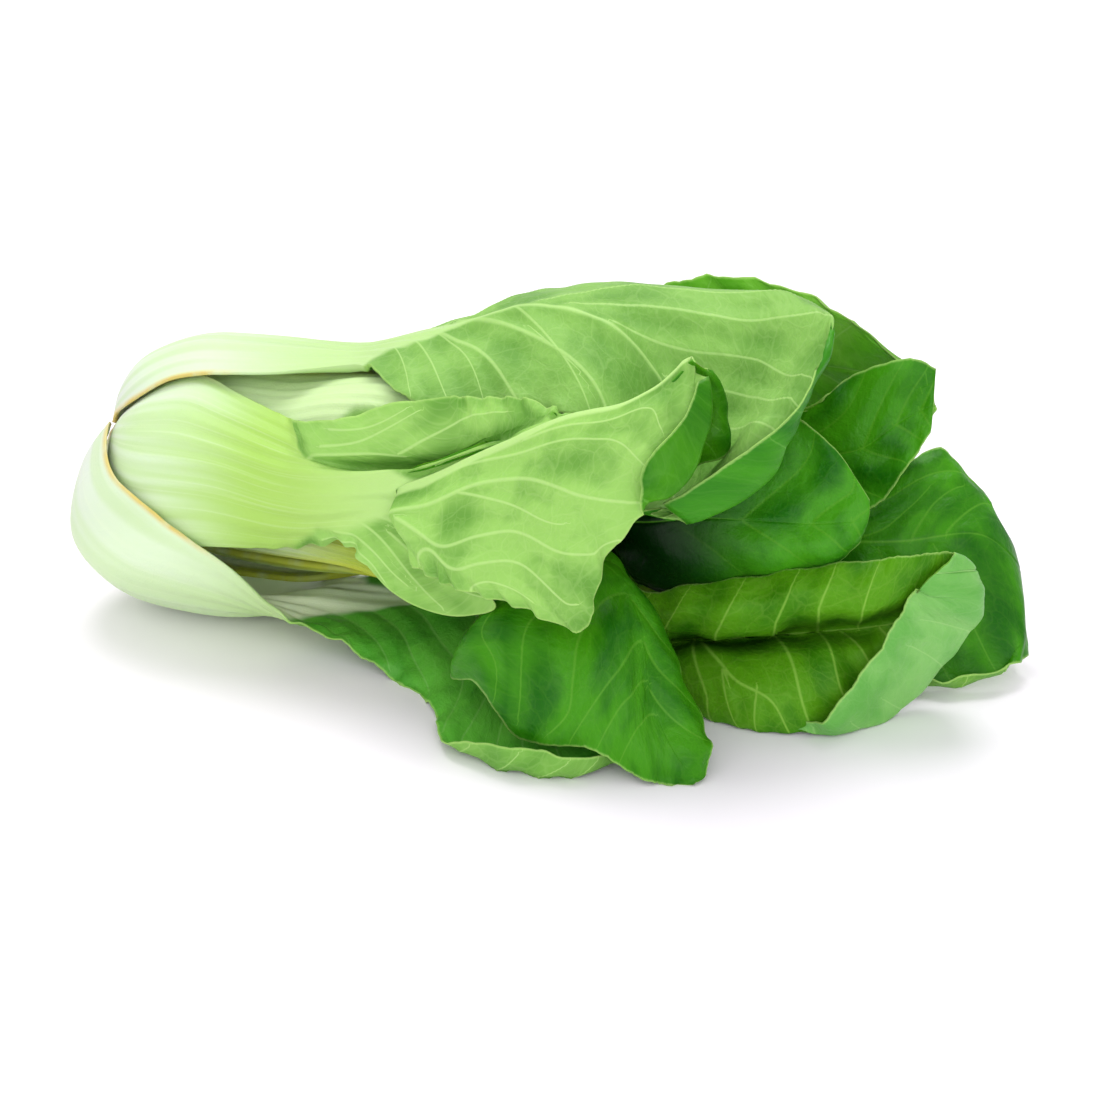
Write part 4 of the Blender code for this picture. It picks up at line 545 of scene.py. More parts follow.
RIM_SHARE = 0.5
RIM_WANDER = 0.5
BORDER_WANDER = 0.5
BORDER_EDGES = (0.25, 0.75)
FOOT_TO_BULB = (0.0, 0.42)
BULB_TO_NECK = (0.48, 1.05)
NECK_TO_RIB = (1.1, 1.7)
STREAKS_ACROSS = 24.0
STREAK_SCALE = 0.012
STREAK_EDGES = (0.50, 0.80, 0.0, 0.28)
BANDS_ACROSS = 5.0
BAND_SCALE = 0.008
BAND_EDGES = (0.60, 0.40, 0.0, 0.45)
# The aged edge is the stalks' own browning; the sheltered leaf's wide one-sided edge is painted shade of the
# crevice under the top leaf.
AGE_AND_SHADE_SCALE = 0.12
AGE_AND_SHADE_EDGES = (0.30, 0.55, 0.45, 0.95)
AGE_AND_SHADE_FULL_REACH = 0.15         # the edge is fully aged in this share of its width,
AGE_AND_SHADE_FULL_END = 0.6            # up to this share of where it ends,
PAINTED_SHADE_FULL_SIDE = 0.3           # and from this place across, if it is on one side only

# Gloss, the light that sinks into a leaf, and the finest relief, with heights in its unit.
ROUGHNESS_INSIDE = 0.38
ROUGHNESS_OUTSIDE = 0.50
ROUGHNESS_SPREAD = 0.16
STALK_SMOOTHER = 0.08
SPECULAR = 0.14
SINK_WEIGHT = 0.10
SINK_RADIUS = (1.0, 1.3, 0.35)
SINK_SCALE = 0.0012
PORE_SCALE = 2.4
PORE_HEIGHT = 0.5
CREASE_SCALE = 0.30
CREASE_HEIGHT = 5.0
FIBRE_HEIGHT = 0.8
RELIEF_UNIT = 0.0002
RELIEF_STRENGTH = 0.5

# Thickness and rib at stations along a leaf: the foot, the bulb, the neck, just past it, the tip.
BLADE_THICKNESS = 0.75
RIM_THICKNESS = 0.35
RIM_TAPER = 3.0
RIB_EXTRA = (2.2, 5.2, 4.2, 2.0, 0.3)
RIB_HALF_WIDTH = (6.0, 17.0, 14.0, 3.6, 1.0)
RIB_RAISED = (0.0, 0.0, 0.1, 0.8, 0.8)
BULB_SHARE = 0.45
PAST_NECK = 0.13

# Heights: no skin lies lower than the first, and what is lower than the second in the outer skin
# of a leaf that the others press down lies on the floor.
LIFT_OFF_TABLE = 0.02
PRESSED_FLAT = 0.6

# The pale of the rib: half-widths from below the neck to half-way along where it fades, and the
# fading of a leaf without its own "pale".
PALE_HALF_WIDTHS = (60.0, 30.0, 10.0, 4.0)
PALE_FADING = (4.0, 1.0, 0.5)
PALE_SHARPNESS = 5

# Side veins, quilting, ripples and teeth, and the soft lengthwise ridges of the stalks.
VEIN_HEIGHT = 0.42
VEIN_HALF_WIDTH = 0.75
VEIN_GROOVE = 0.30
VEIN_TAPER = 0.55
EVEN_VEINS = 7
EVEN_VEIN_HALF_WIDTH = 0.5
EVEN_VEIN_PLACES = (0.03, 0.35, 0.68, 0.96)
VEIN_LEAN = 1.4
VEIN_REACH = 30.0             # distance that stands for "no vein near"
VEIN_WINDOW = 11              # grid cells round a vein in which distances to it are measured
QUILT_HEIGHT = 0.75
QUILT_REACH = 6.0
RIPPLE_HEIGHT = 0.45
RIPPLE_WAVES = 6
RIPPLE_PITCHES = (9.0, 26.0)
RUFFLE = (13.0, 0.8)          # pitch and height
RUFFLE_REACH = 7.0
RUFFLE_DRIFT = 2.0
GROOVES_ACROSS = 24.0
GROOVE_HEIGHT = 0.22
GROOVE_RIM = 4.0
TOOTH_PITCH = 3.4
TOOTH_DEPTH = 0.35
TOOTH_REACH = 1.6
TOOTH_DRIFT = 3.0
TOOTH_BLUNTNESS = 0.6

# How the sheet of a leaf is drawn through its rows: the spread of a row's points, the least step
# between them in millimetres, and the rounds of smoothing along the leaf.
EVEN_SPACING_POWER = 0.75
LEAST_STEP = 0.05
SMOOTHING_ROUNDS = 12

# The stem as (x, radius) stations; its vertices round it, along it and over its cut end; and its
# uneven waves, each with its height, its count round the stem and its twist along it.
STEM = ((-105.6, 4.8), (-105.2, 6.3), (-104, 6.9), (-102, 6.5), (-98, 5.8), (-95, 5.2), (-92, 4.4),
        (-90, 3.9), (-89, 2.8))
STEM_SIDES = 96
STEM_RINGS = 60
STEM_CUT_RINGS = 14
STEM_CUT_DEPTH = 0.5
STEM_WIDEST = 7.2
STEM_WAVES = ((0.03, 5.0, 0.4), (0.015, 13.0, -1.0))


def smooth_step(values):
    """Ease from 0 to 1."""
    clipped = np.clip(values, 0.0, 1.0)
    return clipped * clipped * (3.0 - 2.0 * clipped)


def axis_height(x):
    """Height of the bulb's axis at x: level along the bulb and climbing towards the crown."""
    climb = min(max((CROWN_RISE_START - x) / CROWN_RISE_LENGTH, 0.0), 1.0)
    return AXIS_HEIGHT + CROWN_RISE * climb * climb * (3.0 - 2.0 * climb)


def per_station(value, count):
    """A value for every station, whether one was given or one for each."""
    return value if isinstance(value, tuple) else (value,) * count


def places_across(columns):
    """Places across a leaf of its columns of points, from -1 over the rib at 0 to +1."""
    left, right = columns
    return np.concatenate([np.linspace(-1.0, 0.0, left + 1)[:-1], np.linspace(0.0, 1.0, right + 1)])


def stalk_rows(leaf):
    """Rows of points round the bulb, one for each station of the leaf's outline."""
    outline = leaf["outline"]
    foot_radius, widest = outline[0][1], max(radius for _, radius in outline)
    tuck_share = leaf.get("tuck", 0) / (widest - foot_radius)
    tucked = tuple((x, radius - tuck_share * (radius - foot_radius)) for x, radius in outline)
    left_outline = leaf.get("left_outline", tucked)
    right_outline = leaf.get("right_outline", tucked)
    left_reach = per_station(leaf["left_reach"], len(outline))
    right_reach = per_station(leaf["right_reach"], len(outline))
    rows = []
    for station, (middle_x, middle_radius) in enumerate(outline):
        row = []
        for place in places_across(leaf["columns"]):
            side = left_outline if place < 0 else right_outline
            reach = left_reach if place < 0 else right_reach
            share = place * place
            x = middle_x + (side[station][0] - middle_x) * share
            radius = middle_radius + (side[station][1] - middle_radius) * share
            angle = math.radians(leaf["angle"] - place * reach[station])
            row.append((x, -radius * math.cos(angle), axis_height(x) + radius * math.sin(angle)))
        rows.append(row)
    return rows


def curve_through(points, knots, places):
    """Smooth cubic curve through points at uneven knots, read at the given places."""
    steps = np.diff(knots)
    per_point = (-1,) + (1,) * (points.ndim - 1)
    slopes = np.diff(points, axis=0) / steps.reshape(per_point)
    weight = (steps[1:] / (steps[:-1] + steps[1:])).reshape(per_point)
    tangents = np.empty_like(points)
    tangents[1:-1] = slopes[:-1] * weight + slopes[1:] * (1.0 - weight)
    tangents[0] = 1.5 * slopes[0] - 0.5 * tangents[1]
    tangents[-1] = 1.5 * slopes[-1] - 0.5 * tangents[-2]
    first = np.clip(np.searchsorted(knots, places, side="right") - 1, 0, len(steps) - 1)
    length = steps[first].reshape(per_point)
    f = ((places - knots[first]) / steps[first]).reshape(per_point)
    start, end = points[first], points[first + 1]
    leaving, arriving = tangents[first] * length, tangents[first + 1] * length
    return (start * (2 * f ** 3 - 3 * f ** 2 + 1) + end * (3 * f ** 2 - 2 * f ** 3)
            + leaving * (f ** 3 - 2 * f ** 2 + f) + arriving * (f ** 3 - f ** 2))


def running_length(steps):
    """Distances from the start, worked out from the steps between neighbours."""
    return np.concatenate([[0.0], np.cumsum(steps)])


def row_knots(rows, rib_column):
    """Where each row lies along the leaf, from 0 at its foot to 1 at its tip."""
    steps = np.linalg.norm(np.diff(rows, axis=0), axis=2)
    weights = np.ones(rows.shape[1])
    weights[rib_column] = 2.0
    knots = running_length((steps * weights).sum(axis=1) / weights.sum())
    return knots / knots[-1]


def leaf_sheet(rows, columns, along, across):
    """Grid of points on the leaf's sheet, along from foot to tip and across from -1 to +1."""
    lengthwise = curve_through(rows, row_knots(rows, columns[0]), along)
    column_places = places_across(columns)
    sheet = np.empty((len(along), len(across), 3))
    for index, row in enumerate(lengthwise):
        steps = np.linalg.norm(np.diff(row, axis=0), axis=1)
        knots = running_length(np.maximum(steps, LEAST_STEP) ** EVEN_SPACING_POWER)
        sheet[index] = curve_through(row, knots, np.interp(across, column_places, knots))
    for _ in range(SMOOTHING_ROUNDS):
        sheet[1:-1] += 0.25 * (sheet[:-2] + sheet[2:] - 2.0 * sheet[1:-1])
    return sheet


def outward_normals(sheet):
    """Unit normals on the outer side of the leaf, the side that faces away from its heart."""
    normals = np.cross(np.gradient(sheet, axis=1), np.gradient(sheet, axis=0))
    return normals / np.maximum(np.linalg.norm(normals, axis=2, keepdims=True), 1e-9)


def distances_across(sheet, rib_index):
    """Signed distance of each point from the rib, measured along its row."""
    steps = np.linalg.norm(np.diff(sheet, axis=1), axis=2)
    distance = np.apply_along_axis(running_length, 1, steps)
    return distance - distance[:, rib_index][:, None]


def even_veins(blade_rows):
    """Side veins for a leaf without its own: pairs that leave the rib and lean to the tip."""
    veins = []
    for start in np.linspace(0.0, blade_rows - 2.0, EVEN_VEINS):
        for side in (-1, 1):
            lean = VEIN_LEAN * (1.0 + 0.1 * side)
            course = ((start + lean * share ** 0.8, side * share) for share in EVEN_VEIN_PLACES)
            veins.append((EVEN_VEIN_HALF_WIDTH, *course))
    return veins


def on_sheet(sheet, spots):
    """Points of the sheet at fractional places of its grid."""
    corner = np.clip(spots.astype(int), 0, np.array(sheet.shape[:2]) - 2)
    down, over = (spots - corner).T[..., None]
    i, j = corner.T
    near = sheet[i, j] * (1.0 - over) + sheet[i, j + 1] * over
    far = sheet[i + 1, j] * (1.0 - over) + sheet[i + 1, j + 1] * over
    return near * (1.0 - down) + far * down


def vein_line(course, grid):
    """A vein as a line of fractional places of the grid, and how far along it each of them is."""
    rows, columns = np.arange(len(grid.row_places)), np.arange(len(grid.across))
    bends = np.array([(np.interp(row, grid.row_places, rows), np.interp(place, grid.across, columns))
                      for row, place in course])
    knots = running_length(np.linalg.norm(np.diff(bends, axis=0), axis=1))
    shares = np.linspace(0.0, 1.0, int(knots[-1]) * 2 + 2)
    return curve_through(bends, knots, shares * knots[-1]), shares


def measured_from_line(sheet, cells, line, window):
    """For each point in a window of the sheet: its distance to the line, on which side of the line
    it is, as a sign, and which place of the line is the nearest."""
    middle = on_sheet(sheet, line)
    heading, turn = np.gradient(middle, axis=0), np.gradient(line, axis=0)
    spacing = np.maximum(np.linalg.norm(heading, axis=1), 1e-6)
    heading /= spacing[:, None]
    away = cells[window][:, :, None] - line
    reach = ((sheet[window][:, :, None] - middle) ** 2).sum(axis=3)
    reach = np.where((away ** 2).sum(axis=3) < 2 * VEIN_WINDOW ** 2, reach, VEIN_REACH ** 2)
    best = reach.argmin(axis=2)
    offset = sheet[window] - middle[best]
    slide = (offset * heading[best]).sum(axis=2)
    slide = np.clip(slide, -0.5 * spacing[best], 0.5 * spacing[best])
    distance = np.linalg.norm(offset - slide[..., None] * heading[best], axis=2)
    distance = np.where(reach.min(axis=2) < VEIN_REACH ** 2, distance, VEIN_REACH)
    apart = cells[window] - line[best]
    beside = np.sign(apart[..., 0] * turn[best, 1] - apart[..., 1] * turn[best, 0])
    return distance, beside, best


def distances_to_veins(veins, grid):
    """For each of two sets of side veins: the distance of every point to the set's nearest vein,
    first with the vein's side as its sign and then without, and that vein's half-width there.

    Neighbouring veins are in different sets, so that a sign changes only where a vein runs.
    """
    size = grid.sheet.shape[:2]
    cells = np.stack(np.indices(size, dtype=float), axis=2)
    sets = [np.tile((VEIN_REACH, VEIN_REACH, EVEN_VEIN_HALF_WIDTH), (*size, 1)) for _ in range(2)]
    for number, (half_width, *course) in enumerate(veins):
        line, shares = vein_line(course, grid)
        low = np.maximum(line.min(axis=0).astype(int) - VEIN_WINDOW, 0)
        high = line.max(axis=0).astype(int) + VEIN_WINDOW
        window = (slice(low[0], high[0]), slice(low[1], high[1]))
        distance, beside, best = measured_from_line(grid.sheet, cells, line, window)
        width = half_width * (1.0 - VEIN_TAPER * shares[best])
        here = np.stack([distance * beside, distance, width], axis=2)
        facts = sets[number % 2][window]
        closer = distance < facts[..., 1]
        facts[closer] = here[closer]
    return sets


def ripples(distance_along, distance_across, seed):
    """Gentle unevenness of a blade: a few crossed waves with seeded directions, -1 to +1."""
    chance = np.random.default_rng(seed)
    total = np.zeros_like(distance_across)
    for _ in range(RIPPLE_WAVES):
        turn = chance.uniform(0, math.pi)
        pitch = chance.uniform(*RIPPLE_PITCHES)
        start = chance.uniform(0, 6.28)
        wave = distance_along * math.cos(turn) + distance_across * math.sin(turn)
        total += np.sin(2.0 * math.pi * wave / pitch + start)
    return total / RIPPLE_WAVES


def laid_out(leaf):
    """The leaf's sheet as a grid of points, with where each point lies on the leaf."""
    rows = np.array(stalk_rows(leaf) + leaf["blade"], dtype=float)
    along_count, across_count = leaf["grid"]
    rib_index = int(across_count * leaf["columns"][0] / sum(leaf["columns"]))
    along = np.linspace(0.0, 1.0, along_count)
    across = np.concatenate([np.linspace(-1.0, 0.0, rib_index + 1)[:-1],
                             np.linspace(0.0, 1.0, across_count - rib_index)])
    knots = row_knots(rows, leaf["columns"][0])
    neck_row = len(leaf["outline"])
    sheet = leaf_sheet(rows, leaf["columns"], along, across)
    from_rib = distances_across(sheet, rib_index)
    from_foot = running_length(np.linalg.norm(np.diff(sheet[:, rib_index], axis=0), axis=1))
    length = from_foot[-1]
    from_foot = np.repeat(from_foot[:, None], across_count, axis=1)
    side_reach = np.where(from_rib < 0, -from_rib[:, :1], from_rib[:, -1:])
    return SimpleNamespace(
        sheet=sheet, along=along, across=across, neck=knots[neck_row],
        row_places=np.interp(along, knots, np.arange(len(rows))) - neck_row,
        stalk_length=knots[neck_row] * length, from_foot=from_foot, from_rib=from_rib,
        from_margin=np.minimum(side_reach - np.abs(from_rib), length - from_foot + 0.5))


def pale_share(leaf, grid):
    """How much of each point is stalk or pale rib: all in the stalk, a narrowing line in the blade."""
    faded_row, faded_reach, faded_share = leaf.get("pale", PALE_FADING)
    last_row = len(leaf["blade"]) - 1
    reach = np.interp(grid.row_places, (-1.0, -0.4, 0.5, 0.5 * faded_row + 0.5, faded_row, last_row),
                      (*PALE_HALF_WIDTHS, faded_reach, 0.4 * faded_reach))[:, None]
    reach = reach * (0.5 + 0.5 * leaf["girth"])
    share = 1.0 / (1.0 + (np.abs(grid.from_rib) / reach) ** PALE_SHARPNESS)
    fading = np.interp(grid.row_places, (0.5 * faded_row, faded_row, last_row),
                       (1.0, 0.5 + 0.5 * faded_share, faded_share))
    return share * fading[:, None]


def relief(leaf, grid, stalkness, off_vein, waves, seed):
    """How far the sheet rises from smooth: quilting, ripples and a ruffle, and the stalk's ridges."""
    blade = 1.0 - stalkness
    quilt = smooth_step(off_vein / QUILT_REACH) * smooth_step(grid.from_margin / QUILT_REACH) * blade
    pitch, height = leaf.get("ruffle", RUFFLE)
    near_margin = smooth_step(1.0 - grid.from_margin / RUFFLE_REACH)
    ruffle = near_margin * np.sin(2.0 * math.pi * grid.from_foot / pitch + RUFFLE_DRIFT * waves)
    across = grid.across[None]
    grooves = np.sin(GROOVES_ACROSS * across + 2.0 * np.sin(3.0 * across + seed))
    grooves = grooves * smooth_step(grid.from_foot / grid.stalk_length)
    grooves = grooves * smooth_step(grid.from_margin / GROOVE_RIM) * stalkness
    lift = -QUILT_HEIGHT * quilt + (RIPPLE_HEIGHT * waves + height * ruffle * leaf["girth"]) * blade
    return lift + GROOVE_HEIGHT * grooves * leaf["girth"]


def teeth(grid, blade, waves):
    """The toothed margin, as a shift of each point away from the rib."""
    outward = np.gradient(grid.sheet, axis=1)
    outward /= np.maximum(np.linalg.norm(outward, axis=2, keepdims=True), 1e-6)
    turn = math.pi * grid.from_foot / TOOTH_PITCH + TOOTH_DRIFT * waves
    tooth = np.abs(np.sin(turn)) ** TOOTH_BLUNTNESS
    tooth = TOOTH_DEPTH * tooth * smooth_step(1.0 - grid.from_margin / TOOTH_REACH) * blade
    return outward * (tooth * np.sign(grid.from_rib))[..., None]


def rib_and_thickness(leaf, grid):
    """How far the rib stands out from the outer side, and the thickness between the skins."""
    past_neck = grid.neck + leaf.get("past_neck", PAST_NECK)
    stations = (0.0, BULB_SHARE * grid.neck, grid.neck, past_neck, 1.0)
    extra, half_width, raised = (np.interp(grid.along, stations, values)[:, None]
                                 for values in (RIB_EXTRA, RIB_HALF_WIDTH, RIB_RAISED))
    rib = extra * leaf["girth"] * np.exp(-(grid.from_rib / (half_width * leaf["girth"])) ** 2)
    thin = RIM_THICKNESS + (BLADE_THICKNESS - RIM_THICKNESS) * smooth_step(grid.from_margin / RIM_TAPER)
    return rib * raised, thin + rib * (1.0 - raised)


def shaped_leaf(name, leaf, seed):
    """Both skins of a leaf, with everything that its materials need to know at each point."""
    grid = laid_out(leaf)
    stalkness = pale_share(leaf, grid)
    blade = 1.0 - stalkness
    veins = VEINS.get(name) or even_veins(len(leaf["blade"]))
    vein_sets = distances_to_veins(veins, grid)
    off_vein = np.minimum(vein_sets[0][..., 1], vein_sets[1][..., 1])
    vein = np.maximum(*(np.exp(-(facts[..., 1] / (VEIN_HALF_WIDTH * (0.5 + facts[..., 2]))) ** 2)
                        * (0.4 + facts[..., 2]) for facts in vein_sets)) * blade
    waves = ripples(grid.from_foot, grid.from_rib, seed)
    normals = outward_normals(grid.sheet)
    lift = relief(leaf, grid, stalkness, off_vein, waves, seed)
    middle = grid.sheet + normals * lift[..., None] + teeth(grid, blade, waves)
    raised, thickness = rib_and_thickness(leaf, grid)
    outer = middle + normals * (raised + VEIN_HEIGHT * vein)[..., None]
    inner = middle - normals * (thickness - VEIN_GROOVE * vein)[..., None]
    sunk = np.maximum(LIFT_OFF_TABLE - np.minimum(outer[..., 2], inner[..., 2]), 0.0)
    outer[..., 2] += sunk
    inner[..., 2] += sunk
    if leaf.get("pressed"):
        outer[..., 2] = np.where(outer[..., 2] < PRESSED_FLAT, 0.0, outer[..., 2])
    places = np.broadcast_to(grid.across, stalkness.shape)
    facts = {
        "veins": vein_sets[0],
        "other_veins": vein_sets[1],
        "spot": np.stack([grid.from_foot, grid.from_rib, places], axis=2),
        "zone": np.stack([stalkness, grid.from_margin, grid.from_foot / grid.stalk_length], axis=2),
    }
    return outer, inner, facts


def placed(points):
    """Points of the rows' frame, in metres and with the head's middle over the origin."""
    return (np.asarray(points, dtype=float) - (*HEAD_MIDDLE, 0.0)) * MM


class Surface:
    """One material's nodes, with short calls for the few kinds that a leaf needs."""

    def __init__(self, name):
        self.material = bpy.data.materials.new(name)
        self.material.use_nodes = True
        self.tree = self.material.node_tree
        self.shader = self.tree.nodes["Principled BSDF"]

    def node(self, kind, **settings):
        """Add a node with the given settings."""
        made = self.tree.nodes.new("ShaderNode" + kind)
        for setting, value in settings.items():
            setattr(made, setting, value)
        return made

    def feed(self, socket, value):
        """Link a socket to another, or set its value."""
        if isinstance(value, bpy.types.NodeSocket):
            self.tree.links.new(value, socket)
        elif isinstance(value, tuple) and len(value) == 3 and socket.type == "RGBA":
            socket.default_value = (*value, 1.0)
        else:
            socket.default_value = value

    def math(self, operation, *values):
        """A number worked out from one, two or three others."""
        made = self.node("Math", operation=operation)
        for socket, value in zip(made.inputs, values):
            self.feed(socket, value)
        return made.outputs[0]

    def between(self, value, start, end, low=0.0, high=1.0):
        """Ease from low to high as a number goes from start to end."""
        made = self.node("MapRange", interpolation_type="SMOOTHSTEP")
        for socket, given in zip(made.inputs, (value, start, end, low, high)):
            self.feed(socket, given)
        return made.outputs[0]

    def mix(self, share, first, second):
        """Blend two colours."""
        made = self.node("Mix", data_type="RGBA")
        self.feed(made.inputs["Factor"], share)
        self.feed(made.inputs[6], first)
        self.feed(made.inputs[7], second)
        return made.outputs[2]

    def parts(self, attribute):
        """The three numbers of a vertex attribute."""
        read = self.node("Attribute", attribute_name=attribute)
        split = self.node("SeparateXYZ")
        self.feed(split.inputs[0], read.outputs["Vector"])
        return split.outputs

    def point(self, *values):
        """A vector of three numbers."""
        made = self.node("CombineXYZ")
        for socket, value in zip(made.inputs, values):
            self.feed(socket, value)
        return made.outputs[0]

    def noise(self, place, scale, detail=2.0):
        """Smooth noise, 0 to 1, read at a place."""
        made = self.node("TexNoise")
        self.feed(made.inputs["Vector"], place)
        made.inputs["Scale"].default_value = scale
        made.inputs["Detail"].default_value = detail
        return made.outputs[0]

    def network(self, place, scale):
        """Distance to the nearest wall of a net of cells, in cell sizes."""
        made = self.node("TexVoronoi", feature="DISTANCE_TO_EDGE")
        self.feed(made.inputs["Vector"], place)
        made.inputs["Scale"].default_value = scale
        return made.outputs[0]

    def bump(self, height, distance, strength):
        """Fine relief under the shader."""
        made = self.node("Bump")
        self.feed(made.inputs["Height"], height)
        made.inputs["Distance"].default_value = distance
        made.inputs["Strength"].default_value = strength
        self.feed(self.shader.inputs["Normal"], made.outputs[0])


class LeafSurface(Surface):
    """One side of a leaf, painted from the facts that its mesh carries at each point."""

    def __init__(self, look, side):
        super().__init__(look + "_" + side)
        self.look = LOOKS[look]
        self.inside = side == "inner"
        self.deep_green, self.light_green, self.vein_colour = self.look[side]
        self.from_foot, self.from_rib, self.across = self.parts("spot")
        self.stalkness, self.from_margin, self.along = self.parts("zone")
        self.place = self.point(self.from_foot, self.from_rib, 0.0)
        self.bent_place = self.wandering(self.place)
        self.grain = self.noise(self.place, GRAIN_SCALE, 3.0)
        self.patches = self.noise(self.place, PATCH_SCALE, 3.0)
        self.net = self.fine_net()
        self.streaks = self.noise(self.stretched(STREAKS_ACROSS, STREAK_SCALE, 0.0), 1.0, 3.0)

    def wandering(self, place):
        """A place pushed about by slow noise, so that what is read there doesn't look ruled."""
        wander = self.node("TexNoise")
        self.feed(wander.inputs["Vector"], place)
        wander.inputs["Scale"].default_value = WANDER_SCALE
        drift = self.node("VectorMath", operation="SCALE")
        self.feed(drift.inputs[0], wander.outputs[1])
        drift.inputs["Scale"].default_value = WANDER_REACH
        moved = self.node("VectorMath", operation="ADD")
        self.feed(moved.inputs[0], place)
        self.feed(moved.inputs[1], drift.outputs[0])
        return moved.outputs[0]

    def stretched(self, across_scale, along_scale, layer):
        """A place for noise that runs lengthwise in streaks."""
        return self.point(self.math("MULTIPLY", self.across, across_scale),
                          self.math("MULTIPLY", self.from_foot, along_scale), layer)

    def fine_net(self):
        """The net of small veins between the side veins: a coarse one with a finer one in it."""
        nets = []
        for scale, wall, clear, strength in NETS:
            walls = self.between(self.network(self.bent_place, scale), wall, clear)
            nets.append(self.math("MULTIPLY", walls, strength))
        return self.math("MAXIMUM", *nets)

    def side_veins(self):
        """How much of each point is side vein, and how near it is to one."""
        lines = []
        distances = []
        for attribute in ("veins", "other_veins"):
            signed, unsigned, width = self.parts(attribute)
            near = self.math("LESS_THAN", unsigned, SIGNED_WITHIN)
            finer = self.math("SUBTRACT", self.math("ABSOLUTE", signed), unsigned)
            distance = self.math("ADD", unsigned, self.math("MULTIPLY", near, finer))
            lines.append(self.between(self.math("DIVIDE", distance, width), *VEIN_EDGES))
            distances.append(distance)
        halo = self.between(self.math("MINIMUM", *distances), *HALO_EDGES)
        return self.math("MAXIMUM", *lines), halo

    def blade_colour(self):
        """Two greens in patches, lighter beside the veins, with the veins, the net and the rim, and painted
        shade deep in the hollow leaf.
        """
        vein, halo = self.side_veins()
        tone = self.math("ADD", self.between(self.patches, *PATCH_EDGES),
                         self.math("MULTIPLY", halo, HALO_SHARE))
        blade = self.mix(self.math("MINIMUM", tone, 1.0), self.deep_green, self.light_green)
        veins = self.math("MAXIMUM", vein, self.net)
        shown = VEINS_INSIDE if self.inside else VEINS_OUTSIDE
        blade = self.mix(self.math("MULTIPLY", veins, shown), blade, self.vein_colour)
        uneven = self.math("ADD", self.from_margin, self.math("MULTIPLY", self.grain, RIM_WANDER))
        rim = self.between(uneven, *RIM_EDGES)
        blade = self.mix(self.math("MULTIPLY", rim, RIM_SHARE), blade, MARGIN_RIM)
        # Painted shade: the inner side darkens to near black towards the neck, deep in the hollow leaf's
        # cup.
        if self.inside and "painted_shade" in self.look:
            blade = self.mix(self.between(self.along, *self.look["painted_shade"]), blade, PAINTED_SHADE_GREEN)
        return blade

    def stalk_colour(self):
        """White at the foot and greener towards the neck, with streaks and an aged edge; the inner side is
        lighter with painted light, and the sheltered leaf's one-sided edge is painted shade.
        """
        # The inner side's own pale colour carries painted light for the light that shines through the stalk.
        bulb = self.look.get("bulb", STALK_INSIDE_PAINTED_LIGHT if self.inside else STALK_BULB)
        neck = self.look.get("neck", STALK_INSIDE_PAINTED_LIGHT if self.inside else STALK_NECK)
        broad = self.noise(self.stretched(BANDS_ACROSS, BAND_SCALE, 3.0), 1.0, 1.0)
        stalk = self.mix(self.between(self.along, *FOOT_TO_BULB), STALK_FOOT, bulb)
        stalk = self.mix(self.between(self.along, *BULB_TO_NECK), stalk, neck)
        stalk = self.mix(self.between(broad, *BAND_EDGES), stalk, neck)
        stalk = self.mix(self.between(self.streaks, *STREAK_EDGES), stalk, STALK_STREAK)
        stalk = self.mix(self.between(self.along, *NECK_TO_RIB), stalk, self.vein_colour)
        reach, colour, end = self.look.get("edge", STALK_EDGE)
        age_and_shade = self.math("MULTIPLY", self.between(self.from_margin, reach, AGE_AND_SHADE_FULL_REACH * reach),
                         self.between(self.along, end, AGE_AND_SHADE_FULL_END * end))
        blotches = self.noise(self.place, AGE_AND_SHADE_SCALE, 3.0)
        age_and_shade = self.math("MULTIPLY", age_and_shade, self.between(blotches, *AGE_AND_SHADE_EDGES))
        # One side only: the sheltered leaf's edge, which is painted shade.
        if "painted_shade_side" in self.look:
            one_side = self.between(self.across, 0.0, PAINTED_SHADE_FULL_SIDE * self.look["painted_shade_side"])
            age_and_shade = self.math("MULTIPLY", age_and_shade, one_side)
        return self.mix(age_and_shade, stalk, colour)

    def paint(self):
        """The colour: stalk where the stalk is, blade elsewhere, with a patchy border between."""
        border = self.math("ADD", self.stalkness,
                           self.math("MULTIPLY", self.math("SUBTRACT", self.patches, 0.5), BORDER_WANDER))
        colour = self.mix(self.between(border, *BORDER_EDGES), self.blade_colour(), self.stalk_colour())
        self.feed(self.shader.inputs["Base Color"], colour)

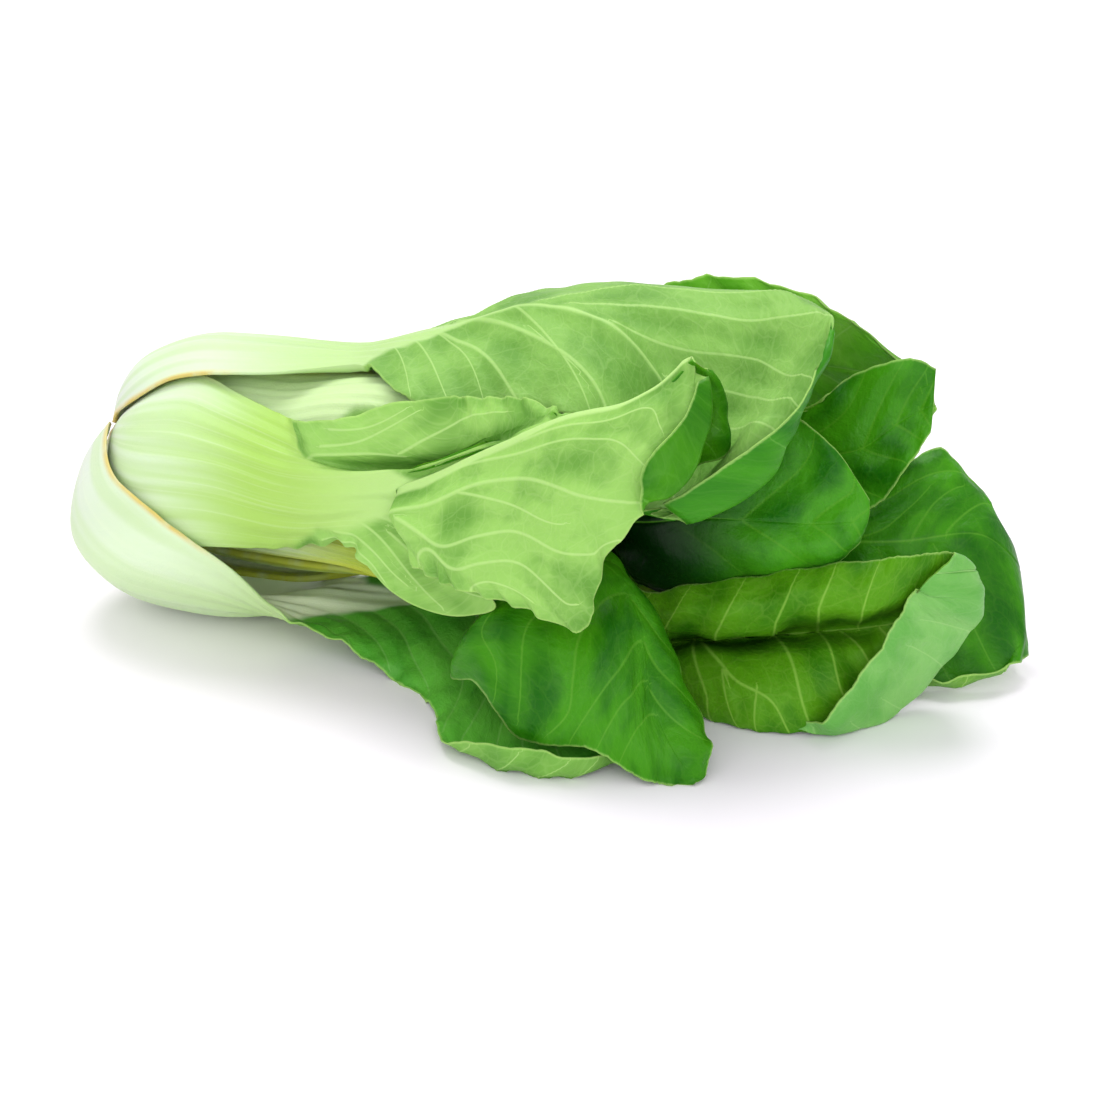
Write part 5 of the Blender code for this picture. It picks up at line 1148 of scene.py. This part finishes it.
    def polish(self):
        """The gloss, the light that sinks in, and the relief too fine for the mesh."""
        gloss = ROUGHNESS_INSIDE if self.inside else ROUGHNESS_OUTSIDE
        uneven = self.math("MULTIPLY", self.math("SUBTRACT", self.grain, 0.5), ROUGHNESS_SPREAD)
        smoother = self.math("MULTIPLY", self.stalkness, STALK_SMOOTHER)
        rough = self.math("SUBTRACT", self.math("ADD", gloss, uneven), smoother)
        self.feed(self.shader.inputs["Roughness"], rough)
        self.shader.inputs["Specular IOR Level"].default_value = SPECULAR
        self.shader.inputs["Subsurface Weight"].default_value = SINK_WEIGHT
        self.shader.inputs["Subsurface Radius"].default_value = SINK_RADIUS
        self.shader.inputs["Subsurface Scale"].default_value = SINK_SCALE
        pores = self.math("MULTIPLY", self.noise(self.place, PORE_SCALE, 2.0), PORE_HEIGHT)
        on_blade = self.math("SUBTRACT", 1.0, self.stalkness)
        creases = self.math("MULTIPLY", self.noise(self.bent_place, CREASE_SCALE, 3.0), on_blade)
        fibres = self.math("MULTIPLY", self.math("MULTIPLY", self.streaks, self.stalkness), FIBRE_HEIGHT)
        height = self.math("ADD", self.math("ADD", pores, self.net),
                           self.math("MULTIPLY", creases, CREASE_HEIGHT))
        self.bump(self.math("ADD", height, fibres), RELIEF_UNIT, RELIEF_STRENGTH)


def leaf_material(look, side):
    """The material of one side of a leaf."""
    made = LeafSurface(look, side)
    made.paint()
    made.polish()
    return made.material


def stem_material():
    """The stem: pale flesh, browned in clouds and dotted."""
    made = Surface("stem")
    here = made.node("TexCoord").outputs["Object"]
    spots = made.noise(here, STEM_DOT_SCALE, 3.0)
    clouds = made.noise(here, STEM_CLOUD_SCALE, 3.0)
    flesh = made.mix(made.between(clouds, *STEM_CLOUD_EDGES), STEM_FLESH, STEM_BROWNED)
    flesh = made.mix(made.between(spots, *STEM_DOT_EDGES), flesh, STEM_DOTS)
    made.feed(made.shader.inputs["Base Color"], flesh)
    made.shader.inputs["Roughness"].default_value = STEM_ROUGHNESS
    made.bump(spots, *STEM_RELIEF)
    return made.material


def floor_material():
    """A plain pale matt floor."""
    made = Surface("floor")
    shade = made.noise(made.node("TexCoord").outputs["Object"], FLOOR_SCALE, 2.0)
    made.feed(made.shader.inputs["Base Color"], made.mix(shade, *FLOOR_SHADES))
    made.shader.inputs["Roughness"].default_value = FLOOR_ROUGHNESS
    return made.material


def mesh_object(name, points, faces, material_indices, materials, facts=None):
    """A smooth-shaded mesh in the scene, with its facts as vertex attributes."""
    mesh = bpy.data.meshes.new(name)
    mesh.from_pydata(points.tolist(), [], faces)
    mesh.polygons.foreach_set("material_index", material_indices)
    for attribute, values in (facts or {}).items():
        layer = mesh.attributes.new(attribute, "FLOAT_VECTOR", "POINT")
        layer.data.foreach_set("vector", values.astype(np.float32).ravel())
    for one in materials:
        mesh.materials.append(one)
    mesh.shade_smooth()
    made = bpy.data.objects.new(name, mesh)
    bpy.context.scene.collection.objects.link(made)
    return made


def stands_for(piece, node):
    """Attach a piece to the root body and hide the CAD part that it stands for."""
    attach(piece, "root")
    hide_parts(node)


def skin_faces(vertices):
    """The four corners of every cell of a grid of vertices."""
    corners = (vertices[:-1, :-1], vertices[:-1, 1:], vertices[1:, 1:], vertices[1:, :-1])
    return np.stack(corners, axis=2).reshape(-1, 4)


def make_leaf(name, leaf, seed, materials):
    """Build one leaf as a closed mesh: both skins, and the strip that joins them at the margin."""
    outer, inner, facts = shaped_leaf(name, leaf, seed)
    rows, columns = outer.shape[:2]
    outside = np.arange(rows * columns).reshape(rows, columns)
    inside = outside + rows * columns
    skins = [skin_faces(outside), skin_faces(inside)[:, (0, 3, 2, 1)]]
    margin = [(0, j) for j in range(columns)] + [(i, columns - 1) for i in range(1, rows)]
    margin += [(rows - 1, j) for j in range(columns - 2, -1, -1)]
    margin += [(i, 0) for i in range(rows - 2, 0, -1)]
    strip = np.array([(outside[b], outside[a], inside[a], inside[b])
                      for a, b in zip(margin, margin[1:] + margin[:1])])
    faces = skins[0].tolist() + skins[1].tolist() + strip.tolist()
    sides = [1] * len(skins[0]) + [0] * len(skins[1]) + [1] * len(strip)
    points = placed(np.concatenate([outer.reshape(-1, 3), inner.reshape(-1, 3)]))
    doubled = {fact: np.concatenate([values, values]) for fact, values in facts.items()}
    look = leaf["look"]
    piece = mesh_object(name + "_look", points, faces, sides,
                        (materials[look, "inner"], materials[look, "outer"]), doubled)
    stands_for(piece, name)


def make_stem(material):
    """Build the short stem that the leaves grow from, with its uneven cut end."""
    sides = STEM_SIDES
    profile = np.array(STEM)
    knots = running_length(np.linalg.norm(np.diff(profile, axis=0), axis=1))
    outline = curve_through(profile, knots, np.linspace(0.0, knots[-1], STEM_RINGS))
    cut = [(outline[0, 0] + STEM_CUT_DEPTH * math.cos(0.5 * math.pi * share), outline[0, 1] * share)
           for share in np.linspace(0.04, 0.96, STEM_CUT_RINGS)]
    outline = np.concatenate([np.array(cut), outline])
    points = []
    for x, radius in outline:
        for side in range(sides):
            turn = 2.0 * math.pi * side / sides
            uneven = 1.0
            for height, count, twist in STEM_WAVES:
                uneven += height * math.sin(count * turn + twist * x)
            reach = min(radius * uneven, STEM_WIDEST)
            points.append((x, reach * math.cos(turn), axis_height(x) + reach * math.sin(turn)))
    faces = []
    for ring in range(len(outline) - 1):
        for side in range(sides):
            here = ring * sides + side
            after = ring * sides + (side + 1) % sides
            faces.append((here, after, after + sides, here + sides))
    faces.append(tuple(range(sides))[::-1])
    faces.append(tuple(range(len(points) - sides, len(points))))
    piece = mesh_object("stem_base_look", placed(points), faces, [0] * len(faces), (material,))
    stands_for(piece, "stem_base")


def make_floor():
    """The floor, which is attached to no body."""
    corners = FLOOR_HALF * np.array([(-1, -1, 0), (1, -1, 0), (1, 1, 0), (-1, 1, 0)], dtype=float)
    mesh_object("floor", corners, [(0, 1, 2, 3)], [0], (floor_material(),))


def make_lights(scene):
    """The white surroundings and the lights, which all face the origin."""
    world = bpy.data.worlds.new("studio")
    world.use_nodes = True
    scene.world = world
    sky = world.node_tree.nodes["Background"]
    sky.inputs["Color"].default_value = (1.0, 1.0, 1.0, 1.0)
    sky.inputs["Strength"].default_value = WORLD_STRENGTH
    for name, place, size, power in LIGHTS:
        lamp = bpy.data.lights.new(name, "AREA")
        lamp.shape = "RECTANGLE"
        lamp.size, lamp.size_y = size
        lamp.energy = power
        holder = bpy.data.objects.new(name, lamp)
        scene.collection.objects.link(holder)
        holder.location = place
        holder.rotation_euler = Vector(place).to_track_quat("Z", "Y").to_euler()


def make_camera(scene):
    """The camera, set by the direction from which it sees its aim."""
    camera = bpy.data.cameras.new("camera")
    camera.lens = VIEW_LENS
    camera.sensor_width = VIEW_SENSOR
    holder = bpy.data.objects.new("camera", camera)
    scene.collection.objects.link(holder)
    azimuth, elevation = math.radians(VIEW_AZIMUTH), math.radians(VIEW_ELEVATION)
    back = Vector((math.sin(azimuth) * math.cos(elevation), -math.cos(azimuth) * math.cos(elevation),
                   math.sin(elevation)))
    holder.location = Vector(placed([VIEW_AIM])[0]) + back * VIEW_DISTANCE * MM
    holder.rotation_euler = back.to_track_quat("Z", "Y").to_euler()
    scene.camera = holder


def main():
    """Build the pieces and the studio."""
    materials = {(look, side): leaf_material(look, side)
                 for look in LOOKS for side in ("inner", "outer")}
    for seed, (name, leaf) in enumerate(LEAVES.items()):
        make_leaf(name, leaf, seed, materials)
    make_stem(stem_material())
    scene = bpy.context.scene
    scene.view_settings.view_transform = "Standard"
    make_floor()
    make_lights(scene)
    make_camera(scene)
    bpy.context.view_layer.update()


main()
